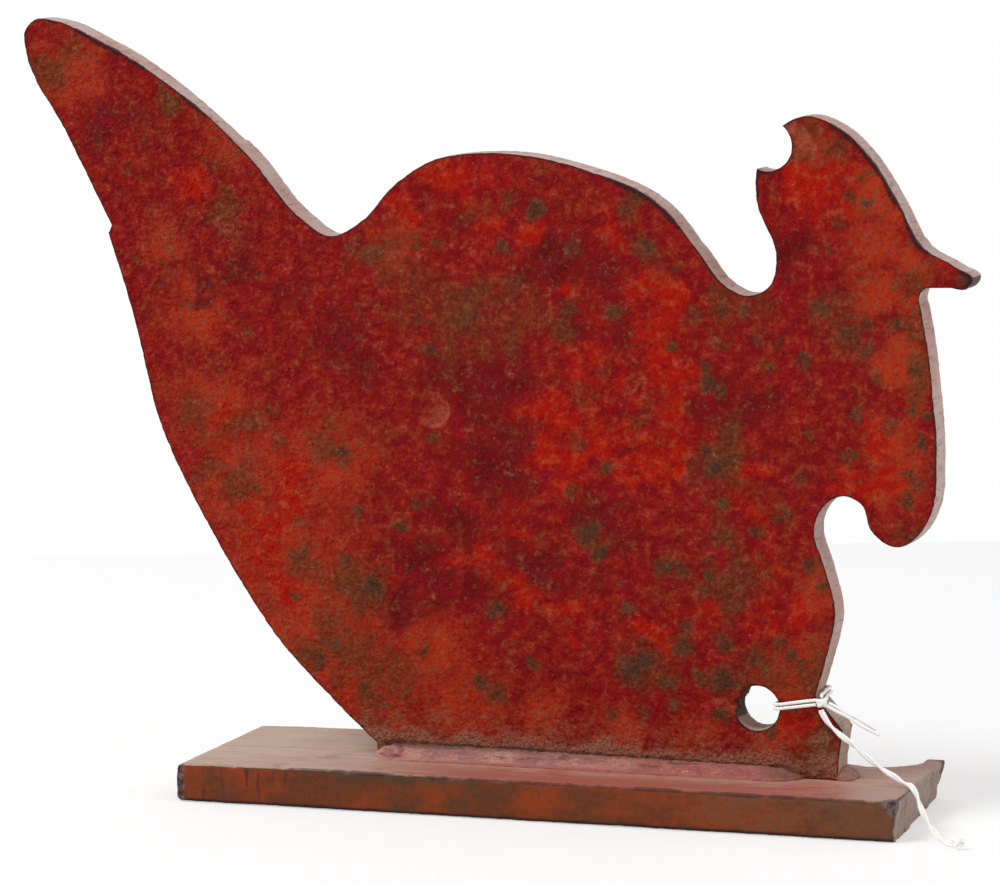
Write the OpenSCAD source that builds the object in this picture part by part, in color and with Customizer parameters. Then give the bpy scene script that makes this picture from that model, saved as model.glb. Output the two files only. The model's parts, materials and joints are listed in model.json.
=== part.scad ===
// Windmill weight: the outline of a fowl, flame-cut from steel plate, welded upright on a plate base.
// Millimetres. The origin is the middle of the base's underside: +X towards the beak, +Z up.

/* [Base plate] */
// Length of the base
base_l = 230; // [216:1:280]
// Width of the base
base_w = 76; // [60:1:100]
// Thickness of the base
base_t = 12.7; // [8:0.1:20]
// Rounding of the base's long edges and left end
base_edge_r = 1.2; // [0.4:0.1:2.5]
// Rounding of the two left corners, seen from above
base_corner_r = 3; // [1:0.5:8]
// How far the flame-cut right end falls back from front to rear
end_skew = 2; // [0:0.5:6]
// How far the top falls away towards the left end
top_fall = 1; // [0:0.1:2]
// Radius of the round bite in the rear edge
bite_r = 14; // [6:0.5:18]
// Distance from the bite's middle to the right end
bite_inset = 22; // [18:0.5:30]
// Distance from the bite's middle to the rear edge
bite_in = 4.5; // [0:0.5:6]

/* [Figure plate] */
// Thickness of the figure's plate
plate_t = 12.7; // [6:0.1:20]
// How far the figure stands in front of the base's middle line
plate_forward = 2.5; // [0:0.5:6]

/* [Tail] */
// Reach of the tail tip to the left of the middle
tail_reach = 176; // [150:1:200]
// Height of the tail tip above the base
tail_h = 229; // [205:1:250]
// Radius of the rounded tail tip
tail_tip_r = 7; // [4:0.5:11]
// Reach of the rump to the left of the middle, where its edge turns up
rump_reach = 130; // [120:1:138]
// Height of that turn above the base
rump_h = 100; // [85:1:115]
// Reach of the small step where the cut was begun again
step_reach = 147.8; // [143:0.2:152]
// Height of that step above the base
step_h = 161.5; // [150:0.5:170]
// Depth of that step
step_d = 1.8; // [0.5:0.1:3]

/* [Back] */
// Distance of the hollow behind the back to the left of the middle
hollow_x = 74; // [66:1:84]
// Height of the bottom of that hollow above the base
hollow_h = 162.5; // [145:0.5:172]
// Distance of the top of the back to the left of the middle
back_x = 25; // [10:1:38]
// Height of the top of the back above the base
back_h = 189.2; // [178:0.5:205]

/* [Head] */
// Distance of the hollow of the nape to the right of the middle
nape_x = 60; // [54:0.5:66]
// Height of the bottom of the nape above the base
nape_h = 147.7; // [138:0.5:156]
// Distance of the crown to the right of the middle
crown_x = 78; // [74:0.5:84]
// Height of the crown above the base
crown_h = 202.3; // [194:0.5:212]
// Radius of the round bite that leaves the comb's two points
comb_r = 7.5; // [5:0.1:9]
// Reach of the beak's tip to the right of the middle
beak_reach = 130; // [124:0.5:140]
// Height of the beak's tip above the throat
beak_h = 5.3; // [3:0.1:9]
// Depth of the beak's blunt tip
beak_tip = 2.2; // [1:0.1:3]

/* [Breast] */
// Distance of the throat to the right of the middle
throat_x = 113.8; // [109:0.2:117]
// Height of the throat above the base
throat_h = 148.2; // [142:0.2:149]
// Rounding of the throat under the beak
throat_r = 2.8; // [2:0.1:4]
// Reach of the breast to the right of the middle
breast_reach = 119.7; // [115:0.1:128]
// Height of the fullest part of the breast above the base
breast_h = 100; // [92:1:110]
// Height of the lowest part of the breast above the base
breast_low_h = 72; // [66:0.5:78]
// Distance of that lowest part back from the breast's reach
breast_turn = 12; // [10:0.5:14]
// Distance of the arch behind the breast to the right of the middle
arch_x = 90.5; // [88:0.5:93]
// Height of the top of that arch above the base
arch_h = 87; // [83:0.5:92]

/* [Leg and foot] */
// Distance of the knee to the right of the middle
knee_x = 88.6; // [86:0.2:93]
// Height of the knee above the base
knee_h = 51; // [46:0.5:56]
// Distance of the ankle to the right of the middle
ankle_x = 82.5; // [80:0.5:85]
// Height of the ankle above the base
ankle_h = 25.8; // [23:0.2:30]
// Reach of the foot to the right of the middle
toe_reach = 90; // [88:0.5:98]
// Height of the toe's upper corner above the base
toe_h = 15.6; // [12:0.2:18]
// How far the toe leans out at that corner
toe_lean = 1.4; // [0:0.1:3]
// Reach of the foot to the left of the middle
heel_reach = 59; // [54:0.5:66]
// Height of the square end of the heel above the base
heel_h = 3.8; // [2:0.2:8]

/* [Tie hole] */
// Diameter of the tie hole
hole_d = 13.4; // [8:0.2:16]
// Distance of the tie hole to the right of the middle
hole_x = 64; // [58:0.5:68]
// Height of the tie hole above the base
hole_h = 21; // [18:0.5:26]

/* [Welds] */
// Height of the long welds on the figure, at the heel
weld_heel_leg = 4.8; // [3:0.1:7]
// Height of the long welds on the figure, at the toe
weld_toe_leg = 3.4; // [2.5:0.1:7]
// Width of the long welds on the base
weld_foot = 8; // [4:0.5:11]
// How far the long welds stop short of the toe
weld_short = 11; // [8:1:40]
// Height and width of the weld across the end of the toe
end_leg = 5; // [3:0.1:8]
// How far the face of a weld stands out from a straight slope
weld_crown = 0.6; // [0:0.1:1.5]
// Distance between the ripples of the welds
ripple_pitch = 4.2; // [2.5:0.1:8]
// Height of the ripples of the welds
ripple_h = 0.4; // [0:0.05:0.8]
// How far each ripple bows forward in the middle of its weld
ripple_bow = 1.8; // [0:0.1:3]

/* [Tie string] */
// Diameter of one strand
strand_d = 1.1; // [0.8:0.1:1.3]
// Diameter of the doubled strand
cord_d = 1.8; // [1.2:0.1:2]
// Diameter of the hitch
hitch_d = 3.6; // [3:0.1:3.8]
// Diameter of the knot at the free end
knot_d = 4.4; // [3:0.1:6]

/* [Hidden] */

// Longest straight piece and sharpest turn in a drawn curve
curve_step = 4;
curve_turn = 7;
// Straight pieces in a small rounded edge, and facets of a true round
edge_steps = 4;
round_fn = 64;
// How far from the heel the base's top begins to fall away, and the length over which it does
fall_gap = 4;
fall_l = base_l / 2 - heel_reach - fall_gap;
// How far the toe's side runs straight up above its weld
toe_rise = 1;
// Size of a weld's rounded ends, as a part of its full size
weld_tip = 0.35;
// Play between a cutter and the face that it passes through
past = 1;

// The landmarks of the outline, as [x, height above the base]
tail = [tail_tip_r - tail_reach, tail_h - tail_tip_r];
heel = [-heel_reach, heel_h];
rump = [-rump_reach, rump_h];
step_out = [-step_reach, step_h];
step_in = step_out + step_d * [0.6, 1.4];
heel_foot = [-heel_reach, 0];
hollow = [-hollow_x, hollow_h];
back = [-back_x, back_h];
nape = [nape_x, nape_h];
crown = [crown_x, crown_h];
beak = [beak_reach, throat_h + beak_h];
beak_under = beak - beak_tip * [0.7, 1];
throat = [throat_x, throat_h];
throat_over = throat + throat_r * [1, 1];
throat_turn = throat + throat_r * [1 - cos(45), sin(45)];
breast = [breast_reach, breast_h];
breast_low = [breast_reach - breast_turn, breast_low_h];
arch = [arch_x, arch_h];
knee = [knee_x, knee_h];
ankle = [ankle_x, ankle_h];
toe_top = [toe_reach + toe_lean, toe_h];
toe_side = [toe_reach, end_leg + toe_rise];
toe_foot = [toe_reach, 0];

// A point at part t of the way from a to b, and bow times their distance outwards from that line
function along(a, b, t, bow) = a + t * (b - a) + bow * [a.y - b.y, b.x - a.x];

// A point on the rounded tail tip
function on_tip(angle) = tail + tail_tip_r * [cos(angle), sin(angle)];

tail_under = on_tip(204);
tail_over = on_tip(62);
// The outline clockwise from the heel, and its sharp corners
outline = [
    heel_foot, heel,
    along(heel, rump, 0.17, 0.035), along(heel, rump, 0.36, 0.063),
    along(heel, rump, 0.57, 0.059), along(heel, rump, 0.79, 0.038), rump,
    along(rump, step_out, 0.6, -0.011), step_out, step_in,
    along(step_in, tail_under, 0.5, 0), tail_under, on_tip(165), on_tip(115), tail_over,
    along(tail_over, hollow, 0.15, 0.037), along(tail_over, hollow, 0.4, 0.06),
    along(tail_over, hollow, 0.67, 0.042), along(tail_over, hollow, 0.92, -0.009), hollow,
    along(hollow, back, 0.17, -0.018), along(hollow, back, 0.5, 0.082), along(hollow, back, 0.75, 0.09), back,
    along(back, nape, 0.35, 0.116), along(back, nape, 0.6, 0.131),
    along(back, nape, 0.8, 0.051), along(back, nape, 0.93, -0.006), nape,
    along(nape, crown, 0.09, -0.099), along(nape, crown, 0.21, -0.096),
    along(nape, crown, 0.49, 0.113), along(nape, crown, 0.58, 0.148),
    along(nape, crown, 0.78, 0.157), along(nape, crown, 0.93, 0.09), crown,
    along(crown, beak, 0.13, 0.065), along(crown, beak, 0.32, 0.07), along(crown, beak, 0.57, 0.008),
    along(crown, beak, 0.75, -0.045), along(crown, beak, 0.91, -0.003),
    beak, beak_under, along(beak_under, throat_over, 0.5, 0), along(beak_under, throat_over, 0.88, 0),
    throat_over, throat_turn, throat,
    along(throat, breast, 0.08, 0.005), along(throat, breast, 0.27, 0.018), along(throat, breast, 0.6, 0.019), breast,
    along(breast, breast_low, 0.56, 0.177), along(breast, breast_low, 0.8, 0.144), breast_low,
    along(breast_low, arch, 0.41, 0.088), along(breast_low, arch, 0.78, -0.088), arch,
    along(arch, knee, 0.1, -0.158), along(arch, knee, 0.26, -0.225), along(arch, knee, 0.62, -0.114), knee,
    along(knee, ankle, 0.5, 0.023), ankle,
    toe_top, toe_side, toe_foot
];
CORNERS = [heel_foot, heel, step_out, step_in, ankle, toe_top, toe_side, toe_foot];

function is_corner(p) = len([for (c = CORNERS) if (norm(c - p) < 0.001) 1]) > 0;
function item(list, i) = list[(i + len(list)) % len(list)];
function unit(v) = v / norm(v);

// The direction at b of the circle through a, b and c
function circle_dir(a, b, c) =
    unit((b - a) / pow(norm(b - a), 2) + (c - b) / pow(norm(c - b), 2));

// The direction that makes a span an even arc, from the direction at its other end
function even_dir(dir, chord) = 2 * (dir * chord) * chord - dir;

// The directions in which the curve leaves point i and comes to point i + 1
function span_dirs(list, i) =
    let (a = list[i], b = item(list, i + 1), chord = unit(b - a),
         from = circle_dir(item(list, i - 1), a, b), to = circle_dir(a, b, item(list, i + 2)))
    is_corner(a) && is_corner(b) ? [chord, chord]
    : is_corner(a) ? [even_dir(to, chord), to]
    : is_corner(b) ? [from, even_dir(from, chord)]
    : [from, to];

function bezier(p, q, r, s, t) =
    pow(1 - t, 3) * p + 3 * t * pow(1 - t, 2) * q + 3 * t * t * (1 - t) * r + pow(t, 3) * s;

// The points of the curve from point i up to the next one
function span(list, i) =
    let (a = list[i], b = item(list, i + 1), dirs = span_dirs(list, i), l = norm(b - a), chord = (b - a) / l,
         turn = acos(min(1, dirs[0] * chord)) + acos(min(1, dirs[1] * chord)),
         steps = turn < 0.1 ? 1 : ceil(max(l / curve_step, turn / curve_turn)),
         pull_a = 2 * l / (3 + 3 * dirs[0] * chord), pull_b = 2 * l / (3 + 3 * dirs[1] * chord))
    [for (k = [0 : steps - 1]) bezier(a, a + pull_a * dirs[0], b - pull_b * dirs[1], b, k / steps)];

// A closed smooth curve through a list of points, sharp only at the corners
function smooth(list) = [for (i = [0 : len(list) - 1]) each span(list, i)];

// Points of a quarter round about c, from one angle to another
function arc(c, r, from, to) =
    [for (k = [0 : edge_steps]) c + r * [cos(from + (to - from) * k / edge_steps),
                                         sin(from + (to - from) * k / edge_steps)]];

// Lays a drawing in X and height out as a solid of thickness t about the plane y = 0
module upright(t) {
    rotate([90, 0, 0]) linear_extrude(t, center = true) children();
}

module figure_plate() {
    // The bite sits in the line from nape to crown and leaves a point above and below it
    comb = along(nape, crown, 0.78, 0.146);
    color("firebrick")
    translate([0, -plate_forward, base_t])
    difference() {
        upright(plate_t) polygon(smooth(outline));
        translate([comb.x, 0, comb.y]) rotate([90, 0, 0])
            cylinder(h = plate_t + 2 * past, r = comb_r, center = true, $fn = round_fn);
        translate([hole_x, 0, hole_h]) rotate([90, 0, 0])
            cylinder(h = plate_t + 2 * past, d = hole_d, center = true, $fn = round_fn);
    }
}

// The base from above, with rounded left corners and a skewed right end
module base_plan() {
    x = base_l / 2;
    y = base_w / 2;
    r = base_corner_r;
    polygon([[x, -y], each arc([r - x, r - y], r, 270, 180), each arc([r - x, y - r], r, 180, 90),
             [x - end_skew, y]]);
}

// The base from the front, with its top falling away in an even curve to the left end
module base_side() {
    x = base_l / 2;
    r = base_edge_r;
    fall = [for (k = [0 : edge_steps]) [fall_l * (1 - k / edge_steps) - x + r,
                                        base_t - top_fall * pow(k / edge_steps, 2)]];
    polygon([[x, 0], [x, base_t], each fall, each arc([r - x, base_t - top_fall - r], r, 90, 180),
             each arc([r - x, r], r, 180, 270)]);
}

// The base from its end, with rounded long edges
module base_end() {
    y = base_w / 2 - base_edge_r;
    z = base_t - base_edge_r;
    polygon([each arc([y, z], base_edge_r, 0, 90), each arc([-y, z], base_edge_r, 90, 180),
             each arc([-y, base_edge_r], base_edge_r, 180, 270),
             each arc([y, base_edge_r], base_edge_r, 270, 360)]);
}

module base_plate() {
    color("saddlebrown")
    difference() {
        intersection() {
            linear_extrude(base_t) base_plan();
            upright(base_w) base_side();
            rotate([90, 0, 90]) linear_extrude(base_l, center = true) base_end();
        }
        translate([base_l / 2 - bite_inset, base_w / 2 - bite_in, -past])
            cylinder(h = base_t + 2 * past, r = bite_r, $fn = round_fn);
    }
}

// A number from 0 to 1 that rises in a quarter round over the first stretch of a weld
function swell(d, stretch) = d >= stretch ? 1 : sqrt(1 - pow(1 - d / stretch, 2));

// A fillet weld along +X in the corner of two faces, y = 0 that rises and z = 0 that lies, with the metal
// at -Y. It is leg_a high at its start and leg_b at its stop, foot wide, rounded at both ends and rippled.
module bead(l, leg_a, leg_b, foot) {
    rings = ceil(4 * l / ripple_pitch);
    across = 5;
    round_l = min(foot, l / 2);
    // The first point of a ring is the corner, the others run over the weld from the base to the figure
    function ring(i) =
        let (x = l * i / rings, end = min(x, l - x), size = weld_tip + (1 - weld_tip) * swell(end, round_l),
             leg = size * (leg_a + (leg_b - leg_a) * x / l), wide = size * foot)
        [[x, 0, 0], for (k = [0 : across])
            let (s = k / across, arch = 4 * s * (1 - s),
                 wave = ripple_h * abs(sin(180 * x / ripple_pitch)),
                 out = arch * size * (weld_crown + wave) / norm([leg, wide]))
            [x + arch * min(ripple_bow, end / 2), -wide * (1 - s) - out * leg, leg * s + out * wide]];
    n = across + 2;
    points = [for (i = [0 : rings]) each ring(i)];
    sides = [for (i = [0 : rings - 1], k = [0 : n - 1])
        let (a = i * n + k, b = i * n + (k + 1) % n)
        each [[a, b, b + n], [a, b + n, a + n]]];
    caps = [for (k = [1 : n - 2]) each [[0, k + 1, k], [rings * n, rings * n + k, rings * n + k + 1]]];
    polyhedron(points, concat(sides, caps));
}

// Length of the long welds, from the heel to short of the toe
weld_l = heel_reach + toe_reach - weld_short;

module front_weld() {
    color("rosybrown")
    translate([-heel_reach, -plate_forward - plate_t / 2, base_t])
        bead(weld_l, weld_heel_leg, weld_toe_leg, weld_foot);
}

module rear_weld() {
    color("rosybrown")
    translate([-heel_reach, plate_t / 2 - plate_forward, base_t]) mirror([0, 1, 0])
        bead(weld_l, weld_heel_leg, weld_toe_leg, weld_foot);
}

module toe_weld() {
    color("rosybrown")
    translate([toe_reach, -plate_forward - plate_t / 2, base_t]) rotate([0, 0, 90])
        bead(plate_t, end_leg, end_leg, end_leg);
}

// The routes of the string, about the figure's middle plane: on its faces, its edge and through its hole,
// and then over the base's end. Each strand of the loop leaves the hitch, goes in at the hole and comes
// back round the ankle.
upper_strand = [
    [83.2, -7.5, 37.4], [78, -7.4, 36.6], [73, -7.4, 35.7], [71.8, -7.4, 35.5], [70.5, -7.3, 35.4],
    [69.8, -6.4, 35.3], [69.6, -5.2, 35.2], [69.6, 0, 35], [69.6, 5.2, 35.2], [69.8, 6.4, 35.3],
    [70.5, 7.3, 35.4], [71.8, 7.4, 35.6], [77, 7.4, 37], [81.7, 7.4, 39], [83, 7.2, 39.3],
    [83.8, 6.4, 39.4], [84, 5.2, 39.4], [84, 0, 39], [84.2, -5.2, 38.7], [84.6, -7, 38.5]
];
lower_strand = [
    [83, -7.5, 36], [78, -7.4, 35.2], [73, -7.4, 34.4], [71.8, -7.4, 34.2], [70.5, -7.3, 34.1],
    [69.8, -6.4, 34], [69.6, -5.2, 33.9], [69.6, 0, 33.7], [69.6, 5.2, 33.9], [69.8, 6.4, 34],
    [70.5, 7.3, 34.1], [71.8, 7.4, 34.3], [77, 7.4, 35.5], [82, 7.4, 37.6], [83.4, 7.2, 37.9],
    [84.2, 6.4, 38], [84.4, 5.2, 38], [84.6, 0, 37.6], [85.2, -5.2, 37.3], [86.1, -6.5, 37.8]
];
free_cord = [
    [85, -9.2, 34.7], [85.4, -9.3, 33.8], [87.4, -9.6, 30.9], [91, -10, 27.7], [96, -10.5, 24.3],
    [102, -11.3, 19.8], [106, -12, 17.4], [109, -12.7, 16], [111.8, -13.8, 14.6], [114.4, -15.2, 14.1],
    [116.6, -17.2, 12.2], [118, -19, 10], [119.6, -21.4, 7.6], [121.8, -24.2, 5.4], [124.2, -27.4, 3.5],
    [127, -31, 2], [130, -34.4, 1.2], [132.9, -37.3, 1.3]
];
near_end = [[86.9, -9.2, 36], [90.2, -9.2, 34.4], [93.9, -8.9, 32.6], [97.5, -8.5, 30.3], [103, -7.9, 27.7]];
far_end = [[87.1, -7.9, 36.7], [89.5, -7.8, 35.6], [92.4, -7.6, 33.9], [96, -7.2, 32.3], [101.4, -6.3, 29]];
hitch_place = [85, -8.3, 36.75];
knot_place = [134.6, -39, knot_d / 2];

// Carries what is drawn about the figure's middle plane to its place
module on_figure() {
    translate([0, -plate_forward, 0]) children();
}

// The sideways direction at each point of a route, carried along it without a twist
function sideways(route, dirs) =
    [for (i = 0, v = unit(cross(dirs[0], [0.3, 0.5, 0.8])); i < len(route);
          i = i + 1, v = i < len(route) ? unit(v - (v * dirs[i]) * dirs[i]) : v) v];

// A round tube along a route
module tube(route, d) {
    sides = 8;
    last = len(route) - 1;
    dirs = [for (i = [0 : last]) unit(route[min(i + 1, last)] - route[max(i - 1, 0)])];
    u = sideways(route, dirs);
    points = [for (i = [0 : last], k = [0 : sides - 1])
        let (angle = 360 * k / sides)
        route[i] + d / 2 * (cos(angle) * u[i] + sin(angle) * cross(dirs[i], u[i]))];
    walls = [for (i = [0 : last - 1], k = [0 : sides - 1])
        let (a = i * sides + k, b = i * sides + (k + 1) % sides)
        each [[a, b + sides, b], [a, a + sides, b + sides]]];
    ends = [for (k = [1 : sides - 2])
        each [[0, k, k + 1], [last * sides, last * sides + k + 1, last * sides + k]]];
    polyhedron(points, concat(walls, ends));
}

module string_loop() {
    color("white")
    on_figure() {
        tube(upper_strand, strand_d);
        tube(lower_strand, strand_d);
    }
}

module string_hitch() {
    color("white")
    on_figure() translate(hitch_place) sphere(d = hitch_d, $fn = 24);
}

module tie_string() {
    color("white")
    on_figure() tube(free_cord, cord_d);
}

module string_ends() {
    color("white")
    on_figure() {
        tube(near_end, strand_d);
        tube(far_end, strand_d);
    }
}

module end_knot() {
    color("white")
    on_figure() translate(knot_place) sphere(d = knot_d, $fn = 24);
}

figure_plate();
base_plate();
front_weld();
rear_weld();
toe_weld();
string_loop();
string_hitch();
tie_string();
string_ends();
end_knot();
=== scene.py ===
"""Dresses the windmill weight: a fowl cut from plate, welded upright on a bar and tied with string."""

import json
import logging
import math
import random
from collections.abc import Iterator
from contextlib import contextmanager
from dataclasses import dataclass
from enum import Enum

import bmesh
import bpy
import numpy as np
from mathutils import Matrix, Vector, noise
from mathutils.geometry import delaunay_2d_cdt
from mathutils.kdtree import KDTree

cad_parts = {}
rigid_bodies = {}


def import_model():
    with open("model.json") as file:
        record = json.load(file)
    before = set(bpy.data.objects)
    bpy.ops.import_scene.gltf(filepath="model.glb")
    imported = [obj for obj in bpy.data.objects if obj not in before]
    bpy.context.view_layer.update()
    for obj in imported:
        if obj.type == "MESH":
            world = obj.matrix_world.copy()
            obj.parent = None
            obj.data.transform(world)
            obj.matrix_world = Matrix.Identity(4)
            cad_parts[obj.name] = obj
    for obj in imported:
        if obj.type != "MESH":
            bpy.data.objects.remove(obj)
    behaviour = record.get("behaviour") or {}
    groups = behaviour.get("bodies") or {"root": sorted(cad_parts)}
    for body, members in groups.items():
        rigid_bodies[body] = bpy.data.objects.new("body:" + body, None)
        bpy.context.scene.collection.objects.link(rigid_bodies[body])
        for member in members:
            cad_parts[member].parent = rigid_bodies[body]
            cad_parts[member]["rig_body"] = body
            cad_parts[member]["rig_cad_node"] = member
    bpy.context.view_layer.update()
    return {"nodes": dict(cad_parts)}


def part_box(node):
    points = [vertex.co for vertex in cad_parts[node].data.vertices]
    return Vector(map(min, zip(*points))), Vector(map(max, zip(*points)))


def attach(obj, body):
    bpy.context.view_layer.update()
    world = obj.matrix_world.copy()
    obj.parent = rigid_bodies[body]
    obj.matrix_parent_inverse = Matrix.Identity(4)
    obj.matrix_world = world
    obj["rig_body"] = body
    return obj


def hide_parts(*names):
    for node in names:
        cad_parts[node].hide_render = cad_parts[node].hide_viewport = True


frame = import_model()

LOG = logging.getLogger("windmill_weight")
MM = 0.001
# Loose points of a CAD mesh within this are one, in metres
MERGE = 0.002 * MM
# Points of a flat sheet within this are one, in metres
SNAP = 1e-7
# Within this a point of the figure lies on a face, or on another point, in metres
TOUCH = 0.01 * MM
# Beyond this from both faces a point of the figure lies on its wall, in metres
OFF_FACE = 0.1 * MM
BODY = "root"
# The string's plies: the sides that round off each, and the radius between two as a part of the strand's
PLY_SIDES = 6
PLY_VALLEY = 0.86

Place = tuple[float, float, float]
Patch = tuple[float, float, float]
Route = tuple[Place, ...]
Colour = tuple[float, float, float, float]
Socket = bpy.types.NodeSocket
Feed = Socket | float | Place | Colour


class Tone(Enum):
    """What the old paint shows at a point of the figure, each kept as an attribute of its mesh."""

    VERMILION = "vermilion"
    MAROON = "maroon"
    BROWN = "brown"
    RUST = "rust"
    # Rubbed bare places, and the painted highlights along the dents' lower right rims
    BARE = "bare_and_highlight"
    GRIME = "grime"
    WARM = "warm"
    CREASE = "crease"
    RIM = "rim"


class Face(Enum):
    """The two painted faces of the figure, by the direction that they look in."""

    FRONT = -1
    REAR = 1


def srgb(red: int, green: int, blue: int) -> Colour:
    """Turns a colour as seen on a screen, from 0 to 255, into the linear one that a shader takes.

    Args:
        red: The red part.
        green: The green part.
        blue: The blue part.

    Returns:
        The linear colour, opaque.
    """
    parts = [value / 255 for value in (red, green, blue)]
    linear = [p / 12.92 if p <= 0.04045 else ((p + 0.055) / 1.055) ** 2.4 for p in parts]
    return (linear[0], linear[1], linear[2], 1.0)


def cloud(places: np.ndarray, size: float, octaves: int, seed: float) -> np.ndarray:
    """Gives soft random values at places, the same on each run.

    Args:
        places: Points, one in each row.
        size: The size of the largest lumps, in the points' own unit.
        octaves: How many finer layers are added up.
        seed: A shift that gives another pattern.

    Returns:
        A value from about -1 to 1 for each point.
    """
    shift = Vector((seed, 1.7 * seed, -2.3 * seed))
    return np.array([noise.fractal(Vector(p) / size + shift, 1.0, 2.0, octaves) for p in places])


def fade(values: np.ndarray, low: float | np.ndarray, high: float | np.ndarray) -> np.ndarray:
    """Rises smoothly from 0 at low to 1 at high, or falls where low is the larger."""
    t = np.clip((values - low) / (high - low), 0.0, 1.0)
    return t * t * (3.0 - 2.0 * t)


def away_from(spots: np.ndarray, patch: Patch) -> np.ndarray:
    """Returns how far spots, as x and z, lie from a patch's middle, as parts of its radius."""
    return np.hypot(spots[:, 0] - patch[0], spots[:, 1] - patch[1]) / patch[2]


def coverage(spots: np.ndarray, patches: tuple[Patch, ...], faintest: float = 1.0) -> np.ndarray:
    """Says how far points lie inside a set of round patches.

    Args:
        spots: Points on a face, as x and z in millimetres.
        patches: The patches, as x, z and radius in millimetres.
        faintest: The strength of the weakest patch, where they are of uneven strength.

    Returns:
        For each point 1 inside a patch, 0.5 at its radius and 0 well outside.
    """
    best = np.zeros(len(spots))
    rng = random.Random(len(patches))
    for patch in patches:
        best = np.maximum(best, rng.uniform(faintest, 1.0) * fade(away_from(spots, patch), 1.7, 0.3))
    return best


def pick(piece: bpy.types.Object) -> None:
    """Makes a piece the active one and the only one selected, because an operator acts on all that is.

    Args:
        piece: The piece.
    """
    bpy.ops.object.select_all(action="DESELECT")
    piece.select_set(True)
    bpy.context.view_layer.objects.active = piece


@contextmanager
def editing(piece: bpy.types.Object) -> Iterator[None]:
    """Opens a piece in edit mode with all of it selected, and closes it after the block.

    Args:
        piece: The piece.

    Yields:
        Nothing, once the piece is open.
    """
    pick(piece)
    bpy.ops.object.mode_set(mode="EDIT")
    bpy.ops.mesh.select_all(action="SELECT")
    yield
    bpy.ops.object.mode_set(mode="OBJECT")


def mesh_piece(name: str, points: list, faces: list) -> bpy.types.Object:
    """Makes a new object of points and faces.

    Args:
        name: The piece's name.
        points: Its points in metres.
        faces: Its faces, as lists of point numbers.

    Returns:
        The object, at the origin.
    """
    mesh = bpy.data.meshes.new(name)
    mesh.from_pydata(points, [], faces)
    piece = bpy.data.objects.new(name, mesh)
    bpy.context.scene.collection.objects.link(piece)
    return piece


def cad_copy(node: str, name: str) -> bpy.types.Object:
    """Copies a node of the frame and merges its loose triangles.

    Args:
        node: The node's name.
        name: The new piece's name.

    Returns:
        The copy, with its own mesh.
    """
    piece = frame["nodes"][node].copy()
    piece.data = frame["nodes"][node].data.copy()
    piece.name = name
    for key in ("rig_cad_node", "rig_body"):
        del piece[key]
    piece.parent = None
    bpy.context.scene.collection.objects.link(piece)
    piece.data.materials.clear()
    with editing(piece):
        bpy.ops.mesh.remove_doubles(threshold=MERGE)
    return piece


def remesh(piece: bpy.types.Object, voxel: float, rounds: int) -> None:
    """Gives a piece an even fine mesh and eases its edges.

    Args:
        piece: The piece.
        voxel: The size of a face, in metres.
        rounds: How often the mesh is smoothed.
    """
    pick(piece)
    net = piece.modifiers.new("net", "REMESH")
    net.mode = "VOXEL"
    net.voxel_size = voxel
    bpy.ops.object.modifier_apply(modifier=net.name)
    ease = piece.modifiers.new("ease", "SMOOTH")
    ease.factor = 0.5
    ease.iterations = rounds
    bpy.ops.object.modifier_apply(modifier=ease.name)


def rows_of(items: bpy.types.bpy_prop_collection, key: str) -> np.ndarray:
    """Reads a vector of each item in one of a mesh's lists.

    Args:
        items: The list, such as the mesh's points.
        key: The vector's name in an item.

    Returns:
        The vectors, one in each row.
    """
    flat = np.zeros(3 * len(items), np.float32)
    items.foreach_get(key, flat)
    return flat.reshape(-1, 3).astype(float)


def points_of(piece: bpy.types.Object) -> np.ndarray:
    """Returns a piece's points, one in each row, in metres."""
    return rows_of(piece.data.vertices, "co")


def normals_of(piece: bpy.types.Object) -> np.ndarray:
    """Returns the outward directions at a piece's points, one in each row."""
    return rows_of(piece.data.vertex_normals, "vector")


def move_points(piece: bpy.types.Object, places: np.ndarray) -> None:
    """Puts a piece's points at new places, in metres."""
    piece.data.vertices.foreach_set("co", places.astype(np.float32).ravel())
    piece.data.update()


def keep_values(piece: bpy.types.Object, name: str, values: np.ndarray) -> None:
    """Stores one value for each point of a piece, which a material can read by its name."""
    layer = piece.data.attributes.new(name, "FLOAT", "POINT")
    layer.data.foreach_set("value", values.astype(np.float32))


def cover(piece: bpy.types.Object, finish: bpy.types.Material) -> None:
    """Gives a piece its one material and shades it smooth.

    Args:
        piece: The piece.
        finish: The material.
    """
    piece.data.materials.append(finish)
    pick(piece)
    bpy.ops.object.shade_smooth()


def finish_piece(piece: bpy.types.Object, node: str) -> None:
    """Lets a piece stand for a CAD node and ride on the body.

    Args:
        piece: The piece.
        node: The node that it stands for.
    """
    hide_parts(node)
    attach(piece, BODY)
    LOG.info("%s: %d points", piece.name, len(piece.data.vertices))


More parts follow.
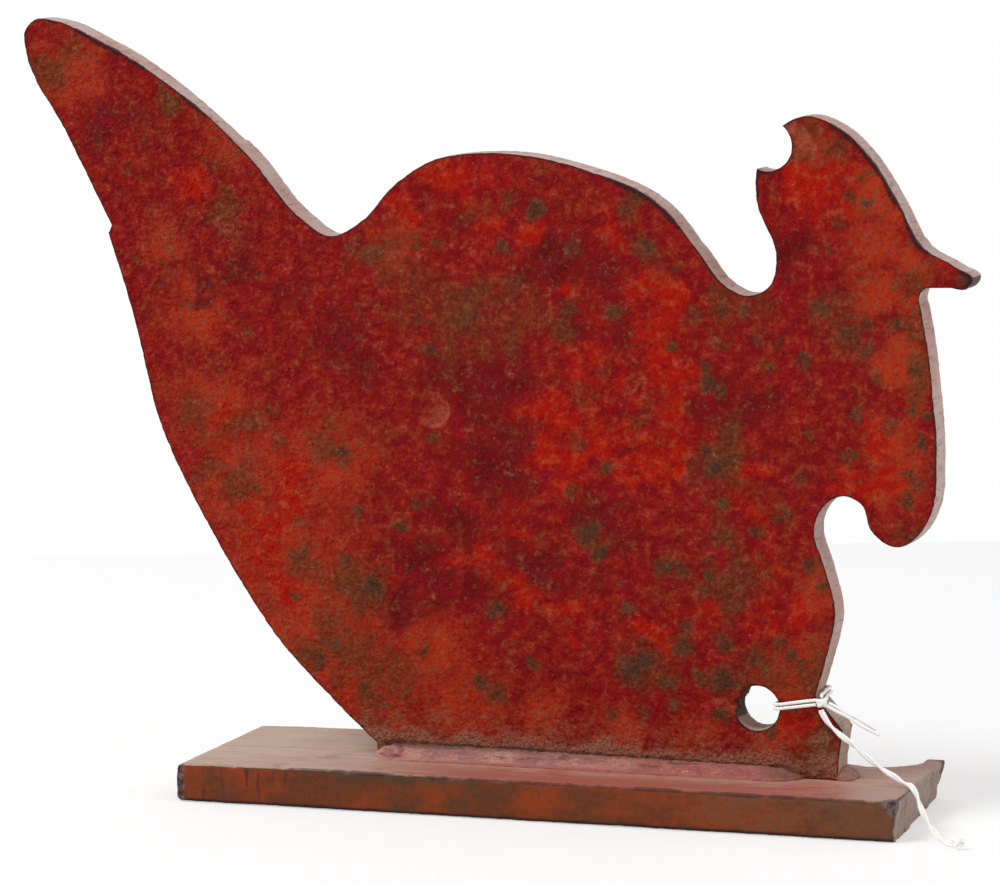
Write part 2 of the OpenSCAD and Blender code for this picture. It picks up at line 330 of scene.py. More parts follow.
class Wiring:
    """A tree of shader nodes, with short ways to add to it."""

    def __init__(self, tree: bpy.types.NodeTree) -> None:
        """Takes up a tree.

        Args:
            tree: The tree of a material or a world.
        """
        self.tree = tree

    def plug(self, feed: Feed, socket: Socket) -> None:
        """Links a socket to what feeds it, or sets its own value.

        Args:
            feed: Another socket, a number, a vector or a colour.
            socket: The socket that takes it.
        """
        if isinstance(feed, Socket):
            self.tree.links.new(feed, socket)
        else:
            socket.default_value = feed

    def node(self, kind: str, **feeds: Feed) -> bpy.types.Node:
        """Adds a node.

        Args:
            kind: The node's type.
            **feeds: What its inputs take, by their names with _ for a space.

        Returns:
            The node.
        """
        made = self.tree.nodes.new(kind)
        for name, feed in feeds.items():
            self.plug(feed, made.inputs[name.replace("_", " ")])
        return made

    def math(self, operation: str, first: Feed, second: Feed) -> Socket:
        """Adds one step of arithmetic.

        Args:
            operation: What is done, by Blender's name for it.
            first: The first number.
            second: The second number.

        Returns:
            The result.
        """
        node = self.node("ShaderNodeMath")
        node.operation = operation
        self.plug(first, node.inputs[0])
        self.plug(second, node.inputs[1])
        return node.outputs[0]

    def times(self, first: Feed, second: Feed) -> Socket:
        """Returns the product of two numbers."""
        return self.math("MULTIPLY", first, second)


class Bench(Wiring):
    """A material in the making, with the patterns and layers that a finish needs."""

    def __init__(self, name: str) -> None:
        """Starts a material with its shader and the object's own coordinates.

        Args:
            name: The material's name.
        """
        self.material = bpy.data.materials.new(name)
        self.material.use_nodes = True
        super().__init__(self.material.node_tree)
        self.shader = self.tree.nodes["Principled BSDF"]
        coords = self.node("ShaderNodeTexCoord")
        self.place = coords.outputs["Object"]
        self.facing = self.split(coords.outputs["Normal"])
        self.axes = self.split(self.place)

    def split(self, vector: Socket) -> list[Socket]:
        """Returns the three parts of a vector."""
        return list(self.node("ShaderNodeSeparateXYZ", Vector=vector).outputs)

    def stretched(self, x: float, y: float, z: float) -> Socket:
        """Returns the object's coordinates, scaled by axis for patterns that run one way."""
        return self.node("ShaderNodeMapping", Vector=self.place, Scale=(x, y, z)).outputs[0]

    def attribute(self, name: str) -> Socket:
        """Finds a value that is stored at the mesh's points.

        Args:
            name: The value's name.

        Returns:
            The value.
        """
        node = self.node("ShaderNodeAttribute")
        node.attribute_name = name
        return node.outputs["Fac"]

    def lumps(self, size: float, detail: float, rough: float = 0.55, at: Socket | None = None) -> Socket:
        """Adds soft noise.

        Args:
            size: The size of its lumps, in metres.
            detail: How many finer layers it has.
            rough: How strong those layers are.
            at: The coordinates, or None for the object's own.

        Returns:
            The value, about 0.5 on average.
        """
        noisy = self.node("ShaderNodeTexNoise", Vector=at or self.place, Scale=1.0 / size, Detail=detail,
                          Roughness=rough)
        return noisy.outputs["Fac"]

    def cells(self, size: float, at: Socket | None = None) -> Socket:
        """Returns the distance to the nearest of many scattered points, as a part of their spacing."""
        scattered = self.node("ShaderNodeTexVoronoi", Vector=at or self.place, Scale=1.0 / size)
        return scattered.outputs["Distance"]

    def band(self, value: Feed, low: float, high: float) -> Socket:
        """Turns a value into a mask that rises smoothly, or falls where low is the larger.

        Args:
            value: The value.
            low: Where the mask is 0.
            high: Where it is 1.

        Returns:
            The mask.
        """
        node = self.node("ShaderNodeMapRange", Value=value, From_Min=min(low, high), From_Max=max(low, high),
                         To_Min=float(low > high), To_Max=float(low < high))
        node.interpolation_type = "SMOOTHSTEP"
        return node.outputs["Result"]

    def ragged(self, mask: Feed, low: float, high: float, *grains: tuple[Socket, float]) -> Socket:
        """Breaks up the soft edge of a mask by layers of noise.

        Args:
            mask: The soft mask, from 0 to 1.
            low: Where the new mask starts.
            high: Where it is full.
            *grains: Layers of noise about 0.5, each with the weight that it shifts the mask by.

        Returns:
            The new mask.
        """
        for grain, weight in grains:
            mask = self.math("ADD", mask, self.times(self.math("SUBTRACT", grain, 0.5), weight))
        return self.band(mask, low, high)

    def line(self, value: Feed, slope: float, start: float) -> Socket:
        """Returns a value times a slope, plus a start."""
        return self.math("ADD", self.times(value, slope), start)

    def mix(self, share: Feed, under: Feed, over: Feed) -> Socket:
        """Lays a share of one colour over another.

        Args:
            share: The share, from 0 to 1.
            under: The colour below.
            over: The colour above.

        Returns:
            The mixed colour.
        """
        node = self.node("ShaderNodeMix")
        node.data_type = "RGBA"
        for socket, feed in ((0, share), (6, under), (7, over)):
            self.plug(feed, node.inputs[socket])
        return node.outputs[2]

    def coats(self, colour: Feed, *layers: tuple[Socket, float, Feed]) -> Socket:
        """Lays coats over a colour, each over those before it.

        Args:
            colour: The colour below them all.
            *layers: The coats, each as its mask, the strength of it where the mask is full, and its colour.

        Returns:
            The colour that is seen.
        """
        for mask, strength, over in layers:
            colour = self.mix(self.times(mask, strength), colour, over)
        return colour

    def skin(self, *layers: tuple[Socket, float, float]) -> Socket:
        """Lays bumps over each other.

        Args:
            *layers: The bumps, each as its height from 0 to 1, how strongly it shows, and the height of 1
                in metres.

        Returns:
            The bumped normal.
        """
        normal = None
        for height, strength, reach in layers:
            node = self.node("ShaderNodeBump", Height=height, Strength=strength, Distance=reach)
            if normal is not None:
                self.plug(normal, node.inputs["Normal"])
            normal = node.outputs["Normal"]
        return normal

    def close(self, colour: Feed, roughness: Feed, normal: Socket, gloss: float) -> bpy.types.Material:
        """Feeds the shader.

        Args:
            colour: The base colour.
            roughness: The roughness.
            normal: The bumped normal.
            gloss: The specular level, the same all over.

        Returns:
            The finished material.
        """
        feeds = {"Base Color": colour, "Roughness": roughness, "Normal": normal, "Specular IOR Level": gloss}
        for name, feed in feeds.items():
            self.plug(feed, self.shader.inputs[name])
        return self.material


@dataclass(frozen=True)
class RedPaint:
    """Old red paint: brushed in two reds, veiled with brown, speckled with rust and with painted glints, and
    dark at the cut rim.
    """

    carmine: Colour = srgb(114, 8, 17)
    red: Colour = srgb(138, 22, 12)
    crimson: Colour = srgb(136, 10, 24)
    warm: Colour = srgb(178, 48, 16)
    clay: Colour = srgb(150, 60, 33)
    vermilion: Colour = srgb(154, 16, 4)
    orange: Colour = srgb(180, 45, 9)
    maroon: Colour = srgb(84, 6, 10)
    plum: Colour = srgb(100, 14, 20)
    brown: Colour = srgb(80, 38, 20)
    tan: Colour = srgb(102, 56, 29)
    rust: Colour = srgb(124, 72, 45)
    moss: Colour = srgb(92, 61, 38)
    olive: Colour = srgb(48, 39, 29)
    pit: Colour = srgb(52, 20, 14)
    bare_and_highlight: Colour = srgb(162, 78, 56)
    grime: Colour = srgb(174, 126, 102)
    crumb: Colour = srgb(140, 90, 71)
    slag: Colour = srgb(48, 28, 28)
    # The colour of the painted glints, highlights painted on the grain's high spots
    glint: Colour = srgb(190, 60, 36)
    chip: Colour = srgb(200, 116, 92)

    def material(self) -> bpy.types.Material:
        """Builds the paint from the tones that the figure's mesh holds.

        Returns:
            The material.
        """
        bench = Bench("red_paint")
        band, ragged, times = bench.band, bench.ragged, bench.times
        cloudy = bench.lumps(7 * MM, 6.0, 0.62)
        smudge = bench.lumps(4.3 * MM, 6.0, 0.6, bench.stretched(1.0, 1.0, 1.1))
        veil = bench.lumps(11 * MM, 6.0, 0.66, bench.stretched(1.1, 1.0, 0.9))
        fine = bench.lumps(1.5 * MM, 4.0, 0.6)
        grain = bench.lumps(0.8 * MM, 2.0, 0.5)
        grit = bench.lumps(0.55 * MM, 2.0, 0.6)
        pebble = bench.lumps(1.7 * MM, 2.0, 0.5, bench.stretched(1.0, 1.0, 1.15))
        dimple = bench.lumps(5 * MM, 2.0)
        tone = {t: bench.attribute(t.value) for t in Tone}
        pebbled = bench.line(band(bench.axes[0], -30 * MM, -110 * MM), 0.7, 0.55)

        # The brushed reds and the brown that veils them
        earthy = bench.mix(band(fine, 0.4, 0.62), self.warm, self.clay)
        bright = bench.mix(band(smudge, 0.45, 0.7), self.vermilion, self.orange)
        dark = bench.mix(band(cloudy, 0.4, 0.62), self.maroon, self.plum)
        dull = bench.mix(band(fine, 0.36, 0.64), self.brown, self.tan)
        colour = bench.coats(
            bench.mix(band(smudge, 0.4, 0.6), self.carmine, self.red),
            (band(veil, 0.47, 0.36), 0.6, self.crimson),
            (ragged(tone[Tone.WARM], -0.05, 1.15, (cloudy, 1.3), (fine, 0.8)), 0.85, earthy),
            (ragged(tone[Tone.VERMILION], 0.2, 0.95, (cloudy, 2.8), (fine, 0.7)), 1.0, bright),
            (ragged(tone[Tone.MAROON], 0.15, 1.1, (smudge, 2.6), (fine, 0.7)), 0.92, dark),
            (ragged(tone[Tone.BROWN], 0.08, 1.18, (veil, 2.1), (fine, 1.3)), 0.8, dull),
            (times(band(veil, 0.48, 0.66), band(smudge, 0.4, 0.62)), 0.4, self.tan),
            (times(band(smudge, 0.56, 0.7), band(fine, 0.4, 0.6)), 0.6, self.orange))

        # Grain, dark dots, pores, chips and painted glints
        worn = bench.math("MAXIMUM", tone[Tone.BROWN], times(tone[Tone.WARM], 0.7))
        dots = times(band(bench.cells(2.6 * MM), 0.24, 0.1), ragged(worn, 0.15, 1.0, (veil, 3.0)))
        pored = times(band(bench.cells(2.1 * MM), 0.22, 0.08), band(smudge, 0.42, 0.58))
        specks = band(bench.cells(3.6 * MM, bench.stretched(1.0, 1.0, 1.3)), 0.11, 0.06)
        chipped = times(specks, band(cloudy, 0.48, 0.62))
        colour = bench.coats(
            colour,
            (band(fine, 0.44, 0.3), 0.34, self.maroon),
            (band(grain, 0.4, 0.24), 0.45, self.pit),
            (band(grit, 0.46, 0.3), 0.34, self.pit),
            # Painted highlights: pale glints on the grain, more on the pebbled left side
            (band(grit, 0.56, 0.72), 0.22, self.glint),
            (times(band(fine, 0.56, 0.74), pebbled), 0.3, self.glint),
            (dots, 0.45, self.moss),
            (pored, 0.6, self.pit),
            (chipped, 0.5, self.chip))

        # Rust, rubbed places with the dents' painted highlights, grime above the weld and the burnt rim
        rusty = tone[Tone.RUST]
        eaten = ragged(rusty, 0.12, 0.95, (smudge, 1.2), (fine, 1.8))
        dirt = ragged(tone[Tone.GRIME], -0.05, 0.9, (fine, 1.0), (smudge, 1.2))
        soil = bench.coats(self.crumb, (band(grain, 0.5, 0.66), 0.6, self.grime),
                           (band(grain, 0.46, 0.34), 0.5, self.olive))
        colour = bench.coats(
            colour,
            (ragged(rusty, 0.0, 0.5, (fine, 0.5)), 0.3, self.brown),
            (eaten, 0.56, bench.mix(band(fine, 0.42, 0.6), self.moss, self.rust)),
            (ragged(rusty, 0.64, 0.98, (fine, 1.4), (grain, 1.5)), 0.74, self.olive),
            # Rubbed bare paint, and a painted highlight along each dent's lower right rim
            (ragged(tone[Tone.BARE], 0.1, 1.1, (fine, 1.0), (grain, 0.5)), 0.75, self.bare_and_highlight),
            (dirt, 0.84, soil),
            (ragged(tone[Tone.CREASE], 0.3, 0.9, (fine, 1.4), (grain, 0.6)), 0.7, self.olive),
            (ragged(tone[Tone.RIM], 0.35, 0.85, (fine, 1.5), (smudge, 0.8)), 0.9, self.slag))

        roughness = bench.math("ADD", times(fine, 0.3), times(eaten, 0.25))
        skin = bench.skin(
            (dimple, 0.9, 1.6 * MM),
            (times(pebble, pebbled), 0.9, 1.5 * MM),
            (bench.math("SUBTRACT", chipped, pored), 0.7, 0.35 * MM),
            (grain, 0.6, 0.2 * MM),
            (times(bench.math("MAXIMUM", eaten, dirt), grain), 0.9, 0.5 * MM))
        return bench.close(colour, bench.math("ADD", roughness, 0.34), skin, 0.04)


@dataclass(frozen=True)
class CutEdge:
    """The flame-cut wall of the figure: pale dust on grey scale, with fine lines through the thickness."""

    dust: Colour = srgb(190, 168, 161)
    pink: Colour = srgb(186, 148, 138)
    scale: Colour = srgb(116, 92, 84)
    tan: Colour = srgb(166, 142, 120)
    slag: Colour = srgb(54, 38, 36)

    def material(self) -> bpy.types.Material:
        """Builds the cut edge.

        Returns:
            The material.
        """
        bench = Bench("cut_edge")
        band, ragged = bench.band, bench.ragged
        broad = bench.lumps(18 * MM, 4.0)
        lines = bench.lumps(1.2 * MM, 4.0, 0.6, bench.stretched(1.0, 0.12, 1.0))
        grain = bench.lumps(0.9 * MM, 3.0)
        colour = bench.coats(
            bench.mix(band(broad, 0.4, 0.62), self.dust, self.pink),
            (ragged(band(bench.axes[2], 85 * MM, 25 * MM), 0.2, 1.0, (broad, 1.6)), 0.7, self.tan),
            (band(lines, 0.5, 0.32), 0.5, self.scale),
            (band(grain, 0.4, 0.28), 0.55, self.scale),
            (ragged(bench.attribute(Tone.RIM.value), 0.4, 0.9, (grain, 1.2), (lines, 0.8)), 0.85, self.slag))
        return bench.close(colour, 0.8, bench.skin((lines, 0.5, 0.35 * MM), (grain, 0.3, 0.2 * MM)), 0.1)


@dataclass(frozen=True)
class RustyBar:
    """The base: dusty on top, worn red-brown paint over rust on its sides with a painted contact shadow along
    their foot, and grey scale on its cut end.
    """

    tan: Colour = srgb(181, 157, 140)
    pink: Colour = srgb(180, 138, 122)
    pale: Colour = srgb(200, 178, 164)
    rose: Colour = srgb(160, 84, 74)
    soil: Colour = srgb(122, 100, 84)
    rust: Colour = srgb(100, 53, 31)
    ember: Colour = srgb(134, 56, 22)
    dun: Colour = srgb(106, 72, 50)
    brown: Colour = srgb(82, 53, 37)
    olive: Colour = srgb(66, 56, 40)
    end: Colour = srgb(158, 138, 126)
    dark: Colour = srgb(44, 34, 34)
    steel: Colour = srgb(112, 94, 96)
    # The length that the finish changes over to the right, half the bar's depth, and its thickness
    rightward: float = 100 * MM
    half_deep: float = 38 * MM
    thick: float = 12.7 * MM

    def material(self) -> bpy.types.Material:
        """Builds the base's finish, with its faces told apart by where they look.

        Returns:
            The material.
        """
        bench = Bench("rusty_bar")
        band, ragged, times = bench.band, bench.ragged, bench.times
        broad = bench.lumps(22 * MM, 5.0, 0.6)
        cloudy = bench.lumps(8 * MM, 6.0, 0.62, bench.stretched(0.6, 1.0, 1.0))
        fine = bench.lumps(1.9 * MM, 5.0, 0.62)
        grain = bench.lumps(0.7 * MM, 3.0)
        streaks = bench.lumps(2.4 * MM, 4.0, 0.6, bench.stretched(1.0, 1.0, 0.1))
        brushed = bench.lumps(2.2 * MM, 4.0, 0.6, bench.stretched(0.08, 1.0, 1.0))
        x, y, z = bench.axes
        right = times(x, 1 / self.rightward)

        # The dusty top, with a strip of old paint along the front
        strip = times(ragged(times(y, -1 / self.half_deep), 0.3, 0.75, (cloudy, 0.9)),
                      band(x, -80 * MM, -5 * MM))
        top = bench.coats(
            bench.mix(ragged(right, -1.0, 0.1, (broad, 2.4), (fine, 1.0)), self.tan, self.pink),
            (times(strip, band(x, 112 * MM, 92 * MM)), 0.85, self.rose),
            (band(cloudy, 0.46, 0.3), 0.6, self.soil),
            (band(brushed, 0.46, 0.34), 0.3, self.rose),
            (band(brushed, 0.56, 0.7), 0.4, self.pale),
            (band(fine, 0.42, 0.28), 0.6, self.soil),
            (ragged(right, 0.8, 1.15, (broad, 1.4), (fine, 0.6)), 0.7, self.end))

        # The rusty sides, with a painted contact shadow along their foot, and the cut end
        upper = ragged(times(z, 1 / self.thick), 0.6, 0.95, (fine, 0.9))
        mossy = times(band(x, -70 * MM, -56 * MM), band(x, -12 * MM, -26 * MM))
        side = bench.coats(
            bench.mix(band(broad, 0.4, 0.6), self.rust, self.ember),
            (band(cloudy, 0.52, 0.34), 0.8, self.brown),
            (band(fine, 0.5, 0.66), 0.5, self.ember),
            (band(fine, 0.48, 0.32), 0.7, self.brown),
            (ragged(right, 0.35, 1.1, (cloudy, 2.4), (fine, 1.0)), 0.75, self.dun),
            (times(band(streaks, 0.44, 0.34), band(x, -70 * MM, -86 * MM)), 0.6, self.dark),
            (band(grain, 0.42, 0.3), 0.35, self.dark),
            (times(mossy, upper), 0.8, self.olive),
            # Painted shadow: the lowest 1.7 mm of the sides darken where the bar meets the table
            (band(z, 1.7 * MM, 0.5 * MM), 0.85, self.dark))
        end = bench.coats(self.end, (band(cloudy, 0.5, 0.34), 0.6, self.soil),
                          (band(fine, 0.44, 0.3), 0.7, self.brown))

        walls = bench.mix(band(bench.facing[0], 0.5, 0.8), side, end)
        colour = bench.coats(
            bench.mix(band(bench.facing[2], 0.45, 0.85), walls, top),
            (ragged(bench.attribute("edge"), 0.5, 1.0, (cloudy, 1.4), (fine, 0.9)), 0.7, self.dark),
            (ragged(bench.attribute("corner"), 0.3, 0.9, (fine, 1.2), (cloudy, 0.8)), 0.85,
             bench.mix(band(fine, 0.4, 0.62), self.dark, self.steel)))
        skin = bench.skin((cloudy, 0.3, 0.5 * MM), (fine, 0.45, 0.35 * MM), (grain, 0.3, 0.15 * MM))
        return bench.close(colour, bench.line(fine, 0.3, 0.45), skin, 0.1)


@dataclass(frozen=True)
class WeldMetal:
    """Fillet weld under thin faded paint: mauve-pink and dusty, with dark pits and red in its crater."""

    mauve: Colour = srgb(152, 100, 96)
    pink: Colour = srgb(182, 132, 118)
    red: Colour = srgb(150, 62, 58)
    blue: Colour = srgb(130, 94, 92)
    rose: Colour = srgb(164, 92, 81)
    soil: Colour = srgb(112, 86, 62)
    rim: Colour = srgb(76, 54, 38)
    pale: Colour = srgb(204, 164, 150)
    pit: Colour = srgb(100, 56, 53)
    toe: Colour = srgb(146, 112, 98)
    # The height where the dark upper rim begins, and how high up it is full
    rim_from: float = 15.6 * MM
    rim_deep: float = 1.6 * MM

    def material(self) -> bpy.types.Material:
        """Builds the weld's finish.

        Returns:
            The material.
        """
        bench = Bench("weld_metal")
        band, ragged = bench.band, bench.ragged
        cloudy = bench.lumps(7 * MM, 5.0, 0.6, bench.stretched(0.5, 1.0, 1.0))
        fine = bench.lumps(1.5 * MM, 5.0, 0.62)
        grain = bench.lumps(0.6 * MM, 3.0)
        ropy = bench.lumps(1.8 * MM, 4.0, 0.6, bench.stretched(0.3, 1.0, 1.0))
        x, _, z = bench.axes
        stained = bench.times(band(x, 58 * MM, 76 * MM), band(x, 90 * MM, 82 * MM))
        foot = ragged(band(z, 14.2 * MM, 12.8 * MM), 0.2, 0.9, (cloudy, 1.6), (fine, 0.6))
        height = bench.times(bench.math("SUBTRACT", z, self.rim_from), 1 / self.rim_deep)
        colour = bench.coats(
            bench.mix(band(cloudy, 0.4, 0.6), self.mauve, self.pink),
            (ragged(band(x, -20 * MM, 50 * MM), 0.1, 1.2, (fine, 1.6)), 0.6, self.red),
            (ragged(bench.attribute("core"), 0.1, 1.2, (cloudy, 1.6), (fine, 1.4)), 0.6, self.red),
            (band(fine, 0.48, 0.34), 0.75, self.blue),
            (band(fine, 0.55, 0.7), 0.6, self.pale),
            (band(ropy, 0.45, 0.33), 0.7, self.pit),
            (band(grain, 0.42, 0.3), 0.5, self.soil),
            (ragged(stained, 0.3, 0.9, (fine, 1.8), (cloudy, 1.6)), 0.65, self.soil),
            (foot, 1.0, bench.mix(band(x, -62 * MM, -20 * MM), self.pink, self.rose)),
            (ragged(height, 0.2, 1.0, (fine, 2.0)), 0.85, self.rim),
            (ragged(band(x, 88 * MM, 92 * MM), 0.3, 0.9, (fine, 0.8)), 0.75, self.toe))
        skin = bench.skin((ropy, 0.7, 0.9 * MM), (fine, 0.6, 0.5 * MM), (grain, 0.3, 0.15 * MM))
        return bench.close(colour, bench.line(fine, 0.3, 0.42), skin, 0.2)


@dataclass(frozen=True)
class Cotton:
    """White twisted cotton, greyed a little in random patches."""

    white: Colour = srgb(253, 253, 251)
    grey: Colour = srgb(234, 231, 225)
    sheen: float = 0.3

    def material(self) -> bpy.types.Material:
        """Builds the string's finish.

        Returns:
            The material.
        """
        bench = Bench("cotton")
        fuzz = bench.lumps(0.25 * MM, 3.0, 0.7)
        broad = bench.lumps(5 * MM, 2.0)
        worn = bench.times(bench.band(fuzz, 0.55, 0.35), bench.band(broad, 0.3, 0.7))
        bench.plug(self.sheen, bench.shader.inputs["Sheen Weight"])
        colour = bench.coats(self.white, (worn, 0.6, self.grey))
        return bench.close(colour, 0.95, bench.skin((fuzz, 0.4, 0.08 * MM)), 0.1)


@dataclass(frozen=True)
class TableWhite:
    """The floor's white, part of which the camera sees as plain white, so that mainly the shadow greys it."""

    white: Colour = srgb(254, 254, 254)
    dim: Colour = srgb(252, 252, 252)
    glow: float = 0.4

    def material(self) -> bpy.types.Material:
        """Builds the floor's finish.

        Returns:
            The material.
        """
        bench = Bench("floor_white")
        speck = bench.lumps(0.4, 2.0)
        colour = bench.mix(bench.band(speck, 0.3, 0.7), self.white, self.dim)
        finish = bench.close(colour, 0.9, bench.skin((speck, 0.01, 0.1 * MM)), 0.05)
        camera_ray = bench.node("ShaderNodeLightPath").outputs["Is Camera Ray"]
        shared = bench.node("ShaderNodeMixShader")
        feeds = (bench.times(camera_ray, self.glow), bench.shader.outputs[0],
                 bench.node("ShaderNodeEmission").outputs[0])
        for feed, socket in zip(feeds, shared.inputs):
            bench.plug(feed, socket)
        bench.plug(shared.outputs[0], bench.tree.nodes["Material Output"].inputs["Surface"])
        return finish


@dataclass(frozen=True)
class Lamp:
    """A square soft lamp, with its place and side in metres and its power in watts."""

    name: str
    at: Place
    side: float
    power: float

    def light(self, aim: Place) -> None:
        """Adds the lamp to the scene.

        Args:
            aim: The place that it looks at.
        """
        data = bpy.data.lights.new(self.name, "AREA")
        data.size = self.side
        data.energy = self.power
        lamp = bpy.data.objects.new(self.name, data)
        lamp.location = self.at
        way = Vector(aim) - Vector(self.at)
        lamp.rotation_euler = way.to_track_quat("-Z", "Y").to_euler()
        bpy.context.scene.collection.objects.link(lamp)


@dataclass
class Studio:
    """The camera at the photograph's place, a pale floor and soft light from above and both sides."""

    camera_at: Place = (0.485443, -1.592778, 0.308137)
    pitch: float = math.radians(83.289)
    yaw: float = math.radians(17.643)
    lens: float = 195.34
    sensor: float = 36.0
    clip_start: float = 0.01
    floor_wide: float = 8.0
    floor_deep: float = 5.0
    far_edge: Place = (-0.19, 0.541, 0.0)
    far_turn: float = math.radians(25.0)
    level: float = 0.64
    aim: Place = (0.0, 0.0, 0.1)
    lamps: tuple[Lamp, ...] = (Lamp("key", (-0.9, -0.8, 1.5), 0.7, 17.5),
                               Lamp("side", (1.5, -0.2, 1.1), 0.9, 4.5))

    def camera(self) -> None:
        """Adds the camera and makes it the scene's own."""
        data = bpy.data.cameras.new("camera")
        data.sensor_fit = "HORIZONTAL"
        data.sensor_width = self.sensor
        data.lens = self.lens
        data.clip_start = self.clip_start
        eye = bpy.data.objects.new("camera", data)
        eye.location = self.camera_at
        eye.rotation_euler = (self.pitch, 0.0, self.yaw)
        bpy.context.scene.collection.objects.link(eye)
        bpy.context.scene.camera = eye

    def floor(self) -> None:
        """Adds the table that the weight stands on, up to its far edge."""
        middle = Vector(self.far_edge)
        along = Vector((math.cos(self.far_turn), math.sin(self.far_turn), 0.0))
        near = along.cross(Vector((0.0, 0.0, 1.0))) * self.floor_deep
        wide = along * self.floor_wide / 2
        corners = [middle - wide + near, middle + wide + near, middle + wide, middle - wide]
        table = mesh_piece("floor", corners, [[0, 1, 2, 3]])
        table.data.materials.append(TableWhite().material())

    def world(self) -> None:
        """Lights all round at one level and shows white behind the object and in its shine."""
        world = bpy.data.worlds.new("studio")
        world.use_nodes = True
        bpy.context.scene.world = world
        wiring = Wiring(world.node_tree)
        rays = wiring.node("ShaderNodeLightPath").outputs
        seen = rays["Is Camera Ray"]
        for kind in ("Is Glossy Ray", "Is Transmission Ray"):
            seen = wiring.math("MAXIMUM", seen, rays[kind])
        shown = wiring.node("ShaderNodeMapRange", Value=seen, To_Min=self.level, To_Max=1.0)
        back = world.node_tree.nodes["Background"]
        wiring.plug((1.0, 1.0, 1.0, 1.0), back.inputs["Color"])
        wiring.plug(shown.outputs["Result"], back.inputs["Strength"])

    def build(self) -> None:
        """Sets the view and adds the floor, the world and the lamps."""
        bpy.context.scene.view_settings.view_transform = "Standard"
        self.floor()
        self.world()
        for lamp in self.lamps:
            lamp.light(self.aim)


def smooth_route(route: list[Vector], step: float) -> list[Vector]:
    """Lays an even, smooth line through a route's points.

    Args:
        route: The points in metres.
        step: The distance between the new points.

    Returns:
        The new points.
    """
    ends = [2 * route[0] - route[1], *route, 2 * route[-1] - route[-2]]
    dense: list[Vector] = []
    for p, q, r, s in zip(ends, ends[1:], ends[2:], ends[3:]):
        count = max(2, math.ceil((r - q).length / step))
        for k in range(count):
            t = k / count
            dense.append(0.5 * (2 * q + (r - p) * t + (2 * p - 5 * q + 4 * r - s) * t * t
                                + (3 * q - p - 3 * r + s) * t ** 3))
    dense.append(route[-1].copy())
    return dense


def carried(line: list[Vector]) -> Iterator[tuple[Vector, Vector, Vector, float]]:
    """Carries two directions across a line along it, without a twist.

    Args:
        line: The line's points, close together.

    Yields:
        For each point the point, the two directions there and the line's length up to it.
    """
    across = (line[1] - line[0]).orthogonal().normalized()
    run = 0.0
    for i, point in enumerate(line):
        ahead = (line[min(i + 1, len(line) - 1)] - line[max(i - 1, 0)]).normalized()
        across = (across - ahead * across.dot(ahead)).normalized()
        run += (point - line[i - 1]).length if i else 0.0
        yield point, across, ahead.cross(across), run


def sweep(line: list[Vector], radius: float, plies: int, lay: float) -> tuple[list[Vector], list[list[int]]]:
    """Sweeps a twisted strand along a line.

    Args:
        line: The line's points, close together.
        radius: The strand's outer radius.
        plies: How many plies it is twisted from.
        lay: The length of one turn of the twist.

    Returns:
        The points and faces of the strand, closed at both ends.
    """
    sides = PLY_SIDES * plies
    points: list[Vector] = []
    for centre, across, beside, run in carried(line):
        for k in range(sides):
            angle = math.tau * k / sides
            bulge = PLY_VALLEY + (1 - PLY_VALLEY) * abs(math.sin(plies * angle / 2))
            turned = angle + math.tau * run / lay
            points.append(centre + radius * bulge * (math.cos(turned) * across + math.sin(turned) * beside))
    faces = [[i * sides + k, i * sides + (k + 1) % sides,
              (i + 1) * sides + (k + 1) % sides, (i + 1) * sides + k]
             for i in range(len(line) - 1) for k in range(sides)]
    last = (len(line) - 1) * sides
    faces.append(list(reversed(range(sides))))
    faces.append([last + k for k in range(sides)])
    return points, faces


